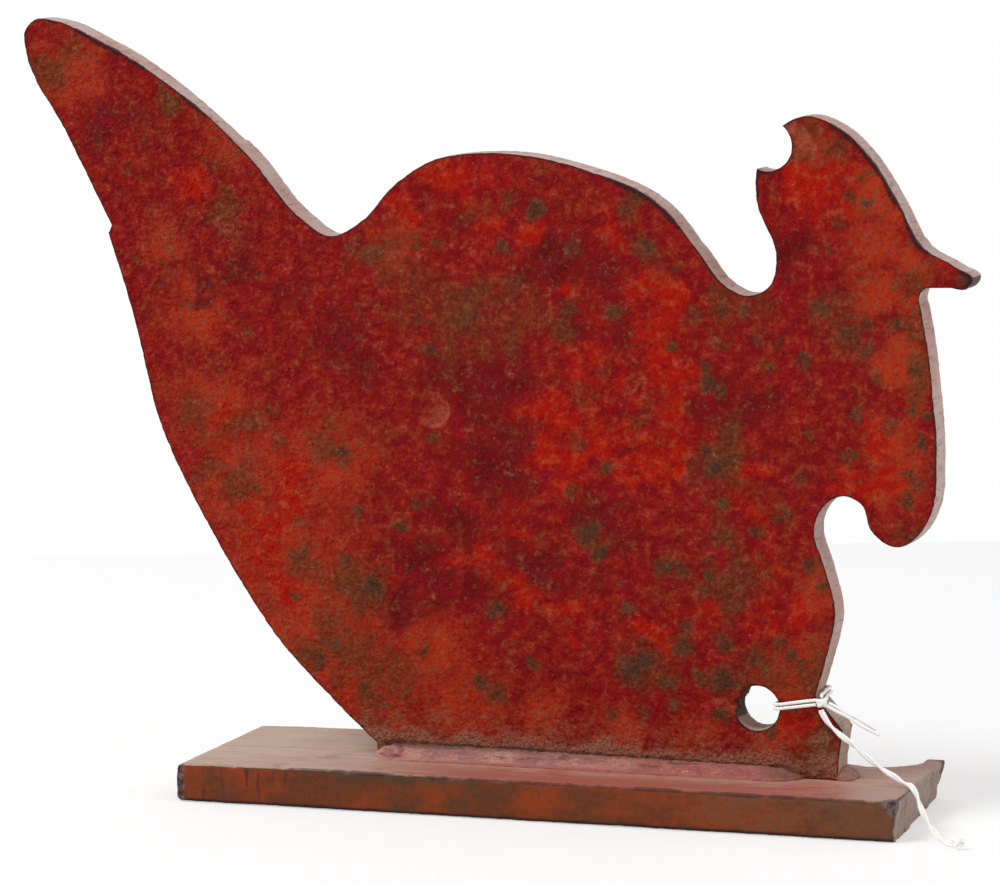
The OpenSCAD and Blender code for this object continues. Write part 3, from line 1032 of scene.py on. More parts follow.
@dataclass
class TieString:
    """The white string: two strands through the hole and round the ankle, a hitch, a doubled cord and a knot.

    The routes are those of the CAD solids, in millimetres about the figure's middle plane.
    """

    middle: float = -2.5
    # In metres, the widths of a strand, of one twisted with another, and of the doubled cord
    strand: float = 0.0011
    twisted: float = 0.001
    cord: float = 0.0018
    # One turn of the doubled cord, and one of a strand's plies
    pitch: float = 0.019
    lay: float = 0.0034
    plies: int = 3
    step: float = 0.00025
    hitch_at: Place = (85.0, -8.3, 36.75)
    hitch_axis: Place = (0.3, -0.1, -0.95)
    hitch_turns: float = 2.6
    hitch_radius: float = 0.00115
    hitch_rise: float = 0.0021
    hitch_steps: int = 96
    bight: Route = ((-1.4, -0.5, 0.5), (-0.4, -1.2, 0.7), (0.7, -1.1, 0.0), (1.3, -0.4, -0.9))
    knot_at: Place = (134.6, -39.0, 2.2)
    knot_size: float = 0.55 * MM
    knot_high: float = 1.6
    knot_steps: int = 120
    upper_strand: Route = (
        (83.2, -7.5, 37.4), (78.0, -7.4, 36.6), (73.0, -7.4, 35.7), (71.8, -7.4, 35.5), (70.5, -7.3, 35.4),
        (69.8, -6.4, 35.3), (69.6, -5.2, 35.2), (69.6, 0.0, 35.0), (69.6, 5.2, 35.2), (69.8, 6.4, 35.3),
        (70.5, 7.3, 35.4), (71.8, 7.4, 35.6), (77.0, 7.4, 37.0), (81.7, 7.4, 39.0), (83.0, 7.2, 39.3),
        (83.8, 6.4, 39.4), (84.0, 5.2, 39.4), (84.0, 0.0, 39.0), (84.2, -5.2, 38.7), (84.6, -7.0, 38.5))
    lower_strand: Route = (
        (83.0, -7.5, 36.0), (78.0, -7.4, 35.2), (73.0, -7.4, 34.4), (71.8, -7.4, 34.2), (70.5, -7.3, 34.1),
        (69.8, -6.4, 34.0), (69.6, -5.2, 33.9), (69.6, 0.0, 33.7), (69.6, 5.2, 33.9), (69.8, 6.4, 34.0),
        (70.5, 7.3, 34.1), (71.8, 7.4, 34.3), (77.0, 7.4, 35.5), (82.0, 7.4, 37.6), (83.4, 7.2, 37.9),
        (84.2, 6.4, 38.0), (84.4, 5.2, 38.0), (84.6, 0.0, 37.6), (85.2, -5.2, 37.3), (86.1, -6.5, 37.8))
    free_cord: Route = (
        (85.0, -9.2, 34.7), (85.4, -9.3, 33.8), (87.4, -9.6, 30.9), (91.0, -10.0, 27.7), (96.0, -10.5, 24.3),
        (102.0, -11.3, 19.8), (106.0, -12.0, 17.4), (109.0, -12.7, 16.0), (111.8, -13.8, 14.6),
        (114.4, -15.2, 14.1), (116.6, -17.2, 12.2), (118.0, -19.0, 10.0), (119.6, -21.4, 7.6),
        (121.8, -24.2, 5.4), (124.2, -27.4, 3.5), (127.0, -31.0, 2.0), (130.0, -34.4, 1.2),
        (132.9, -37.3, 1.3))
    near_end: Route = (
        (86.9, -9.2, 36.0), (90.2, -9.2, 34.4), (93.9, -8.9, 32.6), (97.5, -8.5, 30.3), (103.0, -7.9, 27.7))
    far_end: Route = (
        (87.1, -7.9, 36.7), (89.5, -7.8, 35.6), (92.4, -7.6, 33.9), (96.0, -7.2, 32.3), (101.4, -6.3, 29.0))

    def placed(self, place: Place) -> Vector:
        """Returns a place of a route in the part's frame, in metres."""
        return Vector((place[0] * MM, (place[1] + self.middle) * MM, place[2] * MM))

    def line(self, route: Route) -> list[Vector]:
        """Returns a smooth line along a route."""
        return smooth_route([self.placed(place) for place in route], self.step)

    def strands(self, name: str, lines: list[list[Vector]], width: float) -> bpy.types.Object:
        """Makes one piece of strands along lines.

        Args:
            name: The piece's name.
            lines: The lines' points, close together.
            width: The strands' width.

        Returns:
            The piece.
        """
        points: list[Vector] = []
        faces: list[list[int]] = []
        for line in lines:
            new_points, new_faces = sweep(line, width / 2, self.plies, self.lay)
            faces += [[k + len(points) for k in face] for face in new_faces]
            points += new_points
        return mesh_piece(name, points, faces)

    def loop(self) -> bpy.types.Object:
        """Returns the two strands through the hole and round the ankle."""
        lines = [self.line(self.upper_strand), self.line(self.lower_strand)]
        return self.strands("string_loop_plies", lines, self.strand)

    def hitch(self) -> bpy.types.Object:
        """Winds the hitch round the strands where they meet.

        Returns:
            The piece.
        """
        centre = self.placed(self.hitch_at)
        axis = Vector(self.hitch_axis).normalized()
        across = axis.orthogonal().normalized()
        beside = axis.cross(across)
        turns = []
        for k in range(self.hitch_steps + 1):
            t = k / self.hitch_steps
            angle = math.tau * self.hitch_turns * t
            turns.append(centre + axis * self.hitch_rise * (t - 0.5)
                         + self.hitch_radius * (math.cos(angle) * across + math.sin(angle) * beside))
        bight = smooth_route([centre + Vector(place) * MM for place in self.bight], self.step)
        return self.strands("string_hitch_turns", [turns, bight], self.strand)

    def tails(self) -> bpy.types.Object:
        """Returns the two cut ends that stick out of the hitch."""
        lines = [self.line(self.near_end), self.line(self.far_end)]
        return self.strands("string_cut_ends", lines, self.strand)

    def doubled(self) -> tuple[bpy.types.Object, list[Vector]]:
        """Makes the doubled cord, two strands twisted round each other.

        Returns:
            The piece and its centre line.
        """
        centre = self.line(self.free_cord)
        lines: list[list[Vector]] = [[], []]
        for point, across, beside, run in carried(centre):
            angle = math.tau * run / self.pitch
            side = self.cord / 4 * (math.cos(angle) * across + math.sin(angle) * beside)
            lines[0].append(point + side)
            lines[1].append(point - side)
        return self.strands("tie_string_plies", lines, self.twisted), centre

    def knot(self) -> bpy.types.Object:
        """Ties the overhand knot at the free end.

        Returns:
            The piece.
        """
        centre = self.placed(self.knot_at)
        line = []
        for k in range(self.knot_steps + 1):
            t = math.tau * k / self.knot_steps
            line.append(centre + self.knot_size * Vector((math.sin(t) + 2 * math.sin(2 * t),
                                                          math.cos(t) - 2 * math.cos(2 * t),
                                                          -self.knot_high * math.sin(3 * t))))
        return self.strands("end_knot_turns", [line], self.strand)

    def build(self) -> None:
        """Makes all the string and dresses it."""
        cotton = Cotton().material()
        cord, centre = self.doubled()
        pieces = {"string_loop": self.loop(), "string_hitch": self.hitch(), "tie_string": cord,
                  "string_ends": self.tails(), "end_knot": self.knot()}
        for node, piece in pieces.items():
            cover(piece, cotton)
            finish_piece(piece, node)


# Where each tone of the paint shows on the front, as x, height and radius in millimetres
FRONT_PAINT: dict[Tone, tuple[Patch, ...]] = {
    Tone.VERMILION: (
        (33, 160, 8), (30, 147, 10), (34, 134, 10), (34, 120, 10), (28, 108, 9), (36, 106, 6),
        (20, 118, 8), (10, 119, 9), (0, 121, 9), (-9, 122, 6), (-2, 110, 7), (8, 110, 6), (18, 136, 6),
        (11, 137, 6), (3, 100, 8), (-52, 184, 5), (-36, 195, 7), (-20, 195, 4), (-30, 187, 6),
        (-22, 180, 5), (-8, 179, 4), (12, 186, 4), (15, 177, 4), (5, 163, 3), (75, 191, 7), (83, 191, 8),
        (91, 188, 7), (74, 198, 4), (89, 197, 6), (-35, 76, 4), (-24, 77, 5), (-18, 70, 5), (-13, 84, 4),
        (-9, 65, 6), (5, 60, 6), (35, 52, 5), (29, 57, 4), (45, 60, 5), (70, 80, 6), (75, 65, 6),
        (67, 62, 6), (75, 31, 4), (105, 108, 5), (98, 104, 6), (90, 103, 5), (100, 118, 5), (-90, 91, 8),
        (-95, 82, 8), (-85, 99, 6), (-109, 113, 7), (-95, 71, 6), (-88, 65, 6), (-118, 191, 6),
        (-75, 180, 3), (62, 107, 4), (63, 94, 4)),
    Tone.MAROON: (
        (-30, 132, 10), (-21, 131, 8), (-36, 136, 7), (-14, 136, 6), (-25, 122, 8), (-17, 116, 7),
        (-12, 112, 6), (-20, 105, 8), (-29, 109, 7), (-15, 98, 6), (-40, 92, 7), (-31, 88, 7),
        (-45, 76, 7), (-40, 65, 8), (-50, 60, 7), (-28, 66, 6), (0, 168, 7), (-6, 172, 6), (9, 172, 7),
        (13, 164, 6), (6, 151, 6), (19, 149, 6), (-11, 164, 6), (-31, 181, 5), (71, 172, 6), (76, 177, 5),
        (46, 124, 6), (51, 130, 5), (56, 121, 7), (61, 126, 6), (66, 129, 5), (-74, 141, 8),
        (-70, 146, 7), (-88, 158, 7), (-64, 135, 7), (-6, 75, 6), (-13, 78, 6), (9, 90, 6), (16, 92, 5),
        (0, 72, 4), (12, 70, 5), (20, 85, 5), (-106, 165, 6), (-115, 156, 6), (-150, 209, 7),
        (-141, 212, 6)),
    Tone.BROWN: (
        (-30, 153, 13), (-45, 156, 12), (-18, 153, 11), (-8, 152, 7), (-58, 168, 7), (-120, 116, 6),
        (-100, 116, 8), (-75, 110, 8), (-115, 101, 6), (-104, 95, 6), (-80, 71, 8), (-70, 68, 8),
        (-61, 63, 8), (-75, 55, 7), (-65, 45, 8), (-55, 38, 8), (-70, 35, 6), (-59, 28, 7), (-80, 44, 6),
        (50, 105, 9), (45, 100, 6), (56, 112, 7), (54, 157, 7), (63, 158, 6), (86, 155, 7), (92, 149, 6),
        (65, 48, 7), (73, 46, 7), (80, 45, 8), (77, 39, 6), (29, 45, 8), (56, 70, 7), (61, 76, 7),
        (52, 86, 6), (111, 150, 7), (113, 134, 6), (110, 165, 5), (2, 147, 5), (-15, 147, 5),
        (-165, 226, 6), (-157, 231, 5), (-126, 216, 5), (-106, 200, 7), (8, 127, 5), (25, 122, 4),
        (110, 88, 6), (88, 206, 5), (84, 22, 8), (80, 15, 8), (86, 28, 5), (89, 16, 6), (76, 208, 7),
        (71, 211, 6), (-108, 179, 6.5)),
    Tone.RUST: (
        (4, 155, 2.4), (19, 154, 3), (44, 154, 2), (52, 155.5, 2), (60, 155.5, 2.2), (52, 145.5, 2.4),
        (63.5, 146.5, 2.2), (70, 146, 2), (36.5, 143.5, 1.6), (47, 138, 2.2), (67, 139, 2), (52, 130, 2),
        (48.5, 133, 3), (78, 141.5, 2.6), (97, 153, 2.6), (91, 149, 3.4), (83, 157, 2.6), (98, 145, 1.8),
        (100.5, 136, 2.6), (113, 139, 2), (94, 125, 2.2), (111.5, 126, 2), (105, 122, 2.4), (116, 126, 2),
        (80, 118, 2), (114.5, 117, 1.8), (48, 112, 2.6), (64, 88, 2.2), (54, 110, 3), (91.5, 111.5, 2.8),
        (111, 107, 2.2), (113, 104, 2.2), (110, 99.5, 2.2), (85.5, 27, 2.4), (86.5, 21, 3.2), (84, 16, 3),
        (78, 105, 2), (16, 106, 2.2), (5, 98, 2.2), (6, 113, 2.2), (53, 96, 2.2), (71, 93, 2.8),
        (88.5, 182.5, 1.7), (85, 175, 1.8), (92, 190.5, 1.7), (97, 189, 2), (96.5, 197, 2.2),
        (106, 164, 2.2), (107, 152, 2), (37, 168, 1.6), (-15, 188, 3), (-7, 185, 3.2), (-50, 176, 2.2),
        (-46, 174, 2.6), (-39, 174, 2.2), (-17, 173, 2.4), (4, 173, 2.2), (22, 185, 2.8), (28, 174, 4),
        (24, 190, 3), (-45, 149, 2.2), (-30, 149, 2.4), (-42, 141, 2.6), (-40, 113, 2.4), (10, 85, 4),
        (-46, 92, 1.7), (14, 80, 3), (85, 72, 2.2), (39, 75, 3.4), (53, 53, 3), (22.5, 62.5, 2.8),
        (53, 86, 2.6), (28, 47, 4), (49, 74, 2.4), (24, 44, 5), (50, 107.5, 3.4), (47, 69, 2.2),
        (48, 79, 2), (40, 52, 3.8), (42, 58, 2.8), (20, 70, 1.6), (46, 42.5, 2.8), (66, 46, 2.2),
        (57, 41, 2.2), (38, 33, 2.8), (35.5, 40, 2.8), (18, 29.5, 2.4), (28, 31, 2.2), (-8, 44, 2.2),
        (52.5, 30.5, 2.8), (64, 49, 2.8), (53.3, 41.8, 4.4), (71, 54, 2.4), (75, 50, 2.4),
        (127, 166.4, 2.4), (78, 47, 2.2), (81, 78, 2.6), (34, 76, 3.4), (68.5, 26.5, 2.2),
        (-100.5, 115.5, 2.6), (-91, 110, 2.6), (-93, 120, 2.2), (-75, 108, 2), (-69, 108.5, 2),
        (-84, 85, 2), (-84, 75, 2), (-70, 75, 2.2), (-65, 89, 2), (-50, 85, 2.2), (-78, 42, 2.2),
        (-73, 47, 2.4), (-63, 33, 2), (-85, 62, 2), (-43, 46, 2), (-25, 38, 2.6), (-20, 34, 3.4),
        (-20, 60, 3.2), (-60, 66, 4), (-102, 145, 2.2), (-98, 163, 2), (-131, 158.5, 1.7),
        (-138, 166, 1.6), (-129, 166, 1.6), (-121, 153, 1.8), (-141, 194, 1.9), (-136, 192, 1.8),
        (-130, 191, 2.2), (-135, 204, 2), (-143, 187, 1.9), (-114, 197, 2.2), (-126, 216, 1.9),
        (-161, 231.5, 1.9), (-163, 227, 1.6), (-158, 202, 1.8), (-60, 171, 4), (-66, 172, 2.6)),
    Tone.WARM: (
        (-100, 95, 22), (-112, 118, 16), (-88, 72, 22), (-78, 50, 20), (-58, 34, 18), (-30, 30, 14),
        (-75, 105, 16), (-118, 150, 10), (-128, 172, 9), (-5, 27, 8), (20, 25, 8), (45, 25, 8),
        (78, 45, 12), (84, 72, 9), (113, 132, 7), (108, 106, 8), (114, 155, 6), (80, 205, 9),
        (98, 190, 8), (-160, 226, 10), (-105, 205, 9), (-54, 172, 8), (-42, 46, 12), (70, 26, 8),
        (88, 18, 7), (100, 176, 9), (110, 170, 8), (104, 186, 8), (108, 140, 8), (104, 118, 8),
        (100, 160, 7)),
    Tone.BARE: (
        (77, 207, 3.6), (73, 211, 2.6), (80, 205, 2.4), (51.5, 35.4, 1.3), (53.7, 34.6, 1.6),
        (56.2, 33.7, 1.6), (22, 177, 0.6), (24, 184, 0.6), (58, 33, 1.2)),
}
# Round hammer dents in the front face, as x, height and radius in millimetres
DENTS: tuple[Patch, ...] = ((-41, 122.5, 6.6), (21.5, 133, 4.8), (-60.5, 76, 2.6))
# The shallow round scuff on the tail, with fine marks that run out from its middle
SCUFF: Patch = (-108, 179, 7.5)
# Earth-brown stains at the toe end of the foot, as x, height and radius in millimetres
FOOT_STAIN: tuple[Patch, ...] = ((84.5, 25, 3.0), (86.5, 19, 4.0), (82, 16, 4.0), (89, 15, 3.5))
# Stretches of the front's rim where the cutting flame left the most slag
BURNT: tuple[Patch, ...] = (
    (104, 194, 9), (98, 203, 7), (112, 178, 6), (128, 166, 4), (-150, 234, 8), (24, 191, 9), (36, 184, 5),
    (-140, 225, 5), (90, 211, 6), (62, 196, 4), (-120, 213, 4))
# How many patches of each tone the rear has, with their smallest and largest radius in millimetres
REAR_PAINT: dict[Tone, tuple[int, float, float]] = {
    Tone.VERMILION: (60, 4, 9), Tone.MAROON: (46, 5, 9), Tone.BROWN: (46, 5, 10),
    Tone.RUST: (150, 1.6, 3.6), Tone.WARM: (26, 9, 20), Tone.BARE: (3, 2, 4)}


@dataclass
class Figure:
    """The fowl's outline: two painted faces and a flame-cut wall, with dents, pits and a ragged rim."""

    node: str = "figure_plate"
    front_step: float = 0.95 * MM
    rear_step: float = 1.9 * MM
    rim_step: float = 0.8 * MM
    # In steps, how far a point strays from its row, and how clear of the rim all points keep
    jitter: float = 0.15
    clear: float = 0.6
    fill_seed: int = 7
    front_normal: float = -0.99
    wall_rings: int = 12
    smooth_below: float = math.radians(48)
    # In millimetres, the tie hole, the top of the weld at x = 0 and its fall along x
    hole: Patch = (64.0, 33.7, 6.7)
    weld_top: float = 16.6
    weld_fall: float = 0.012
    # The rear's paint lies between these places, in millimetres
    rear_x: tuple[float, float] = (-170, 125)
    rear_z: tuple[float, float] = (15, 240)
    rear_seed: int = 41

    def rim_loops(self) -> list[np.ndarray]:
        """Reads the outline and the hole from the front of the CAD node.

        Returns:
            The closed loops, as x and z in metres, the longest first.
        """
        bm = bmesh.new()
        bm.from_mesh(frame["nodes"][self.node].data)
        bmesh.ops.remove_doubles(bm, verts=bm.verts, dist=MERGE)
        bm.normal_update()
        front = {f for f in bm.faces if f.normal.y < self.front_normal}
        rim = [e for e in bm.edges if sum(f in front for f in e.link_faces) == 1]
        beside: dict = {}
        for edge in rim:
            a, c = edge.verts
            beside.setdefault(a, []).append(c)
            beside.setdefault(c, []).append(a)
        loops = []
        while beside:
            start = min(beside, key=lambda v: v.index)
            loop, here = [start], beside[start][0]
            while here is not start:
                loop.append(here)
                here = next(v for v in beside[here] if v is not loop[-2])
            for v in loop:
                del beside[v]
            loops.append(np.array([(v.co.x, v.co.z) for v in loop]))
        bm.free()
        return sorted(loops, key=len, reverse=True)

    def divided(self, loop: np.ndarray) -> np.ndarray:
        """Divides a loop's sides into steps no longer than the rim's step.

        Args:
            loop: The loop's points.

        Returns:
            The loop with the new points in it.
        """
        points = []
        for a, b in zip(loop, np.roll(loop, -1, axis=0)):
            count = max(1, math.ceil(np.hypot(*(b - a)) / self.rim_step))
            points += [a + (b - a) * k / count for k in range(count)]
        return np.array(points)

    def rim_tree(self, loops: list[np.ndarray]) -> KDTree:
        """Sorts the rim's points so that the nearest one is found fast.

        Args:
            loops: The divided loops.

        Returns:
            The tree of their points, with y at 0.
        """
        spots = np.concatenate(loops)
        tree = KDTree(len(spots))
        for i, (x, z) in enumerate(spots):
            tree.insert((x, 0.0, z), i)
        tree.balance()
        return tree

    def inner_points(self, loops: list[np.ndarray], step: float) -> list[tuple[float, float]]:
        """Fills the outline with rows of points that keep clear of its rim.

        Args:
            loops: The divided loops.
            step: The distance between points.

        Returns:
            The points, as x and z.
        """
        rim = self.rim_tree(loops)
        low, high = loops[0].min(axis=0), loops[0].max(axis=0)
        points = []
        rng = random.Random(self.fill_seed)
        for row, z in enumerate(np.arange(low[1] + step / 2, high[1], step * math.sqrt(0.75))):
            crossings = []
            for loop in loops:
                after = np.roll(loop, -1, axis=0)
                hit = (loop[:, 1] <= z) != (after[:, 1] <= z)
                a, b = loop[hit], after[hit]
                crossings += list(a[:, 0] + (z - a[:, 1]) / (b[:, 1] - a[:, 1]) * (b[:, 0] - a[:, 0]))
            crossings.sort()
            for left, right in zip(crossings[::2], crossings[1::2]):
                first = math.ceil(left / step) * step + step * (row % 2) / 2
                for x in np.arange(first, right, step):
                    spot = tuple(v + rng.uniform(-self.jitter, self.jitter) * step for v in (x, z))
                    if rim.find((spot[0], 0.0, spot[1]))[2] > self.clear * step:
                        points.append(spot)
        return points

    def sheet(self, name: str, loops: list[np.ndarray], y: float, face: Face) -> bpy.types.Object:
        """Makes one face of the figure as an even sheet of triangles.

        Args:
            name: The piece's name.
            loops: The divided loops.
            y: The face's place.
            face: Which face it is.

        Returns:
            The sheet.
        """
        step = self.front_step if face is Face.FRONT else self.rear_step
        spots = [tuple(p) for loop in loops for p in loop]
        sides, first = [], 0
        for loop in loops:
            sides += [(first + k, first + (k + 1) % len(loop)) for k in range(len(loop))]
            first += len(loop)
        round_hole = set(range(len(loops[0]), first))
        spots += self.inner_points(loops, step)
        places, _, triangles, *_ = delaunay_2d_cdt([Vector(s) for s in spots], sides, [], 1, SNAP)
        faces = [list(t) for t in triangles if not round_hole.issuperset(t)]
        if face is Face.REAR:
            faces = [f[::-1] for f in faces]
        return mesh_piece(name, [(p.x, y, p.y) for p in places], faces)

    def shell(self) -> tuple[bpy.types.Object, list[np.ndarray]]:
        """Joins two sheets with a wall that is drawn out of the front one's rim.

        Returns:
            The closed piece and the divided loops.
        """
        loops = [self.divided(loop) for loop in self.rim_loops()]
        low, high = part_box(self.node)
        piece = self.sheet("fowl_figure", loops, low.y, Face.FRONT)
        rear = self.sheet("rear_face", loops, high.y, Face.REAR)
        rise = (0.0, (high.y - low.y) / self.wall_rings, 0.0)
        with editing(piece):
            bpy.ops.mesh.delete_loose()
            bpy.ops.mesh.select_all(action="SELECT")
            bpy.ops.mesh.region_to_loop()
            for _ in range(self.wall_rings):
                bpy.ops.mesh.extrude_edges_move(TRANSFORM_OT_translate={"value": rise})
        rear.select_set(True)
        bpy.ops.object.join()
        with editing(piece):
            bpy.ops.mesh.remove_doubles(threshold=TOUCH)
            bpy.ops.mesh.delete_loose()
            bpy.ops.mesh.select_all(action="SELECT")
            bpy.ops.mesh.normals_make_consistent(inside=False)
        return piece, loops

    def rim_facts(self, points: np.ndarray, loops: list[np.ndarray]) -> tuple[np.ndarray, np.ndarray]:
        """Measures how points lie to the outline.

        Args:
            points: The points in metres.
            loops: The divided loops.

        Returns:
            Each point's distance to the rim, and the outward direction there in x and z.
        """
        out = []
        for loop in loops:
            along = np.roll(loop, -2, axis=0) - np.roll(loop, 2, axis=0)
            side = np.stack([along[:, 1], -along[:, 0]], axis=1) / np.hypot(along[:, 0], along[:, 1])[:, None]
            area = np.sum(loop[:, 0] * np.roll(loop[:, 1], -1) - np.roll(loop[:, 0], -1) * loop[:, 1])
            outer = loop is loops[0]
            out.append(side if (area > 0) == outer else -side)
        normals = np.concatenate(out)
        tree = self.rim_tree(loops)
        found = [tree.find((x, 0.0, z)) for x, z in points[:, (0, 2)]]
        return np.array([f[2] for f in found]), normals[[f[1] for f in found]]

    def rear_paint(self) -> dict[Tone, tuple[Patch, ...]]:
        """Scatters the paint's tones over the rear face.

        Returns:
            The patches of each tone.
        """
        rng = random.Random(self.rear_seed)
        return {tone: tuple((rng.uniform(*self.rear_x), rng.uniform(*self.rear_z), rng.uniform(small, large))
                            for _ in range(count))
                for tone, (count, small, large) in REAR_PAINT.items()}

    def about_hole(self, mm: np.ndarray) -> tuple[np.ndarray, np.ndarray]:
        """Measures how points lie to the tie hole.

        Args:
            mm: Points in millimetres.

        Returns:
            Each point's distance outside the hole's edge, and its direction from the middle in degrees.
        """
        across, up = mm[:, 0] - self.hole[0], mm[:, 2] - self.hole[1]
        return np.hypot(across, up) - self.hole[2], np.degrees(np.arctan2(up, across)) % 360

    def scorched(self, mm: np.ndarray) -> np.ndarray:
        """Says where the hole's wall is scorched: black at its upper left, less so lower down.

        Args:
            mm: Points in millimetres.

        Returns:
            A value from 0 to 1 for each point.
        """
        outside, turn = self.about_hole(mm)
        return (outside < 0.3) * (fade(np.abs(turn - 160), 62, 36) + 0.12 * fade(np.abs(turn - 230), 50, 20))

    def dent_marks_and_highlights(self, spots: np.ndarray) -> np.ndarray:
        """Says where dents and the scuff rubbed the paint, and paints a highlight along each dent's lower
        right rim, where the rubbed disc is also lighter as painted light.

        Args:
            spots: Points on the front, as x and height in millimetres.

        Returns:
            A value from 0 to 1 for each point.
        """
        rays = np.sin(12 * np.arctan2(spots[:, 1] - SCUFF[1], spots[:, 0] - SCUFF[0])) ** 2
        marks = fade(away_from(spots, SCUFF), 1.25, 0.35) * (0.12 + 0.5 * rays)
        largest = DENTS[0][2]
        for dent in DENTS:
            x, z, radius = dent
            away = away_from(spots, dent)
            toward = (spots[:, 0] - x - (spots[:, 1] - z)) / (math.sqrt(2) * radius)
            # Painted highlight: a lit crescent on the lower right rim, and the rubbed disc lighter towards it
            highlight_crescent = fade(away, 1.04, 0.98) * fade(away, 0.72, 0.95) * fade(toward, 0.35, 0.8)
            rubbed = 0.55 * (radius / largest) ** 2 * fade(away, 1.0, 0.9) * fade(toward, -0.9, 0.6)
            marks = np.maximum(marks, rubbed + 0.6 * highlight_crescent)
        return np.clip(marks, 0.0, 1.0)

    def burnt_rim(self, mm: np.ndarray, gap: np.ndarray, tiny: np.ndarray, front: np.ndarray) -> np.ndarray:
        """Says where the cutting flame left the rim dark.

        Args:
            mm: Points in millimetres.
            gap: Their distance to the rim, in millimetres.
            tiny: Small random shifts in x and z.
            front: Which points are on the front half.

        Returns:
            A value from 0 to 1 for each point.
        """
        burn = coverage(mm[:, (0, 2)] + 1.5 * tiny, BURNT) * front
        wide = np.clip(0.42 + 1.2 * burn + 0.8 * tiny[:, 1], 0.1, 2.4)
        rim = fade(gap, 1.7 * wide, 0.3 * wide) * fade(mm[:, 2], 13.2, 16.5)
        beak_tip = fade(mm[:, 0] + tiny[:, 1], 127.4, 129.2) * fade(mm[:, 2], 168.5, 166.5)
        return np.maximum(np.maximum(rim, beak_tip), self.scorched(mm))

    def paint(self, piece: bpy.types.Object, points: np.ndarray, gap: np.ndarray) -> dict[Tone, np.ndarray]:
        """Works out each tone of the paint at the figure's points and stores it.

        Args:
            piece: The figure.
            points: Its points before they are worn, in metres.
            gap: Their distance to the rim, in metres.

        Returns:
            The tones' values.
        """
        mm = points / MM
        x, z, spots = mm[:, 0], mm[:, 2], mm[:, (0, 2)]
        front = points[:, 1] < points[:, 1].mean()
        drift = np.stack([cloud(mm, 11, 3, 3.0), cloud(mm, 11, 3, 9.0)], axis=1)
        tiny = np.stack([cloud(mm, 3, 2, 5.0), cloud(mm, 3, 2, 8.0)], axis=1)
        rear_paint = self.rear_paint()
        values = {}
        for tone, patches in FRONT_PAINT.items():
            small = tone in (Tone.RUST, Tone.BARE)
            moved = spots + (2.0 * tiny if small else 5.0 * drift + 2.0 * tiny)
            faintest = 0.65 if tone is Tone.RUST else 0.7
            values[tone] = np.where(front, coverage(moved, patches, faintest),
                                    coverage(moved, rear_paint[tone], faintest))
        values[Tone.RUST] *= 0.55 + 0.45 * fade(x - 0.5 * (z - 120), -110.0, -40.0)
        # Rubbed paint at the scuff and dents, with painted highlights on the dents' lower right rims
        values[Tone.BARE] += front * self.dent_marks_and_highlights(spots)
        height = z - self.weld_top + self.weld_fall * x
        welded = fade(x, 80.0, 72.0)
        values[Tone.GRIME] = welded * (0.66 * fade(height + 4.0 * drift[:, 0], 6.0, -0.5)
                                       + 0.36 * fade(height + 4.0 * drift[:, 1], 15.0, 0.0))
        values[Tone.GRIME] += 0.7 * front * coverage(spots + 2.0 * tiny, FOOT_STAIN)
        values[Tone.CREASE] = welded * fade(x, -62.0, -54.0) * fade(height + 0.6 * tiny[:, 0], 1.5, 0.2)
        values[Tone.RIM] = self.burnt_rim(mm, gap / MM, tiny, front)
        for tone, value in values.items():
            keep_values(piece, tone.value, np.clip(value, 0.0, 1.0))
        return values

    def face_depth(self, mm: np.ndarray, gap: np.ndarray, tones: dict[Tone, np.ndarray],
                   front: np.ndarray) -> np.ndarray:
        """Says how deep the faces are dented, pitted and chipped.

        Args:
            mm: Points in millimetres.
            gap: Their distance to the rim, in millimetres.
            tones: The paint's tones.
            front: Which points are on the front face.

        Returns:
            A depth in millimetres for each point.
        """
        sunk = 0.12 + 0.12 * cloud(mm, 22, 3, 1.0) + 0.09 * cloud(mm, 3.2, 2, 4.0)
        sunk += 0.3 * tones[Tone.RUST] * (0.6 + 0.6 * cloud(mm, 1.6, 2, 7.0))
        sunk += 0.3 * tones[Tone.GRIME] * np.abs(cloud(mm, 1.8, 2, 3.0))
        for dent in (*DENTS, SCUFF):
            sunk += front * 0.1 * dent[2] * fade(away_from(mm[:, (0, 2)], dent), 1.02, 0.84)
        chips = np.clip(cloud(mm, 2.4, 3, 11.0), 0.0, 1.0)
        return np.clip(sunk, 0.0, 1.2) + fade(gap, 1.6, 0.0) * (0.15 + 0.4 * chips)

    def wall_depth(self, mm: np.ndarray, gap: np.ndarray, edge: np.ndarray) -> np.ndarray:
        """Says how far the wall is drawn in by the flame's fine lines, chips and its halt on the tail.

        Args:
            mm: Points in millimetres.
            gap: Their distance to the rim, in millimetres.
            edge: Their distance to the nearer face, in millimetres.

        Returns:
            A depth in millimetres for each point.
        """
        deep = 0.14 + 0.14 * cloud(mm, 14, 2, 12.0) + 0.13 * np.abs(cloud(mm * (1, 0.25, 1), 1.5, 2, 13.0))
        deep += fade(edge, 1.4, 0.0) * (0.1 + 0.2 * np.clip(cloud(mm, 2.6, 3, 14.0), 0.0, 1.0))
        deep = np.clip(deep, 0.0, 0.8) * fade(gap, 2.2, 0.0)
        halt = fade(mm[:, 0], -141.6, -106.1) * fade(mm[:, 0], -104.6, -105.4) * (mm[:, 2] > 190.0)
        return deep + 0.75 * halt * fade(mm[:, 1], -8.0, 1.0) * fade(gap, 2.6, 0.0)

    def burr(self, mm: np.ndarray) -> np.ndarray:
        """Says how far slag stands into the tie hole, at its upper left.

        Args:
            mm: Points in millimetres.

        Returns:
            A height in millimetres for each point.
        """
        outside, turn = self.about_hole(mm)
        slag = (outside < 0.4) * fade(np.abs(turn - 158), 48, 18)
        return 1.3 * slag * fade(mm[:, 1], 1.0, -6.0) * (1.1 + 0.9 * cloud(mm, 1.7, 2, 15.0))

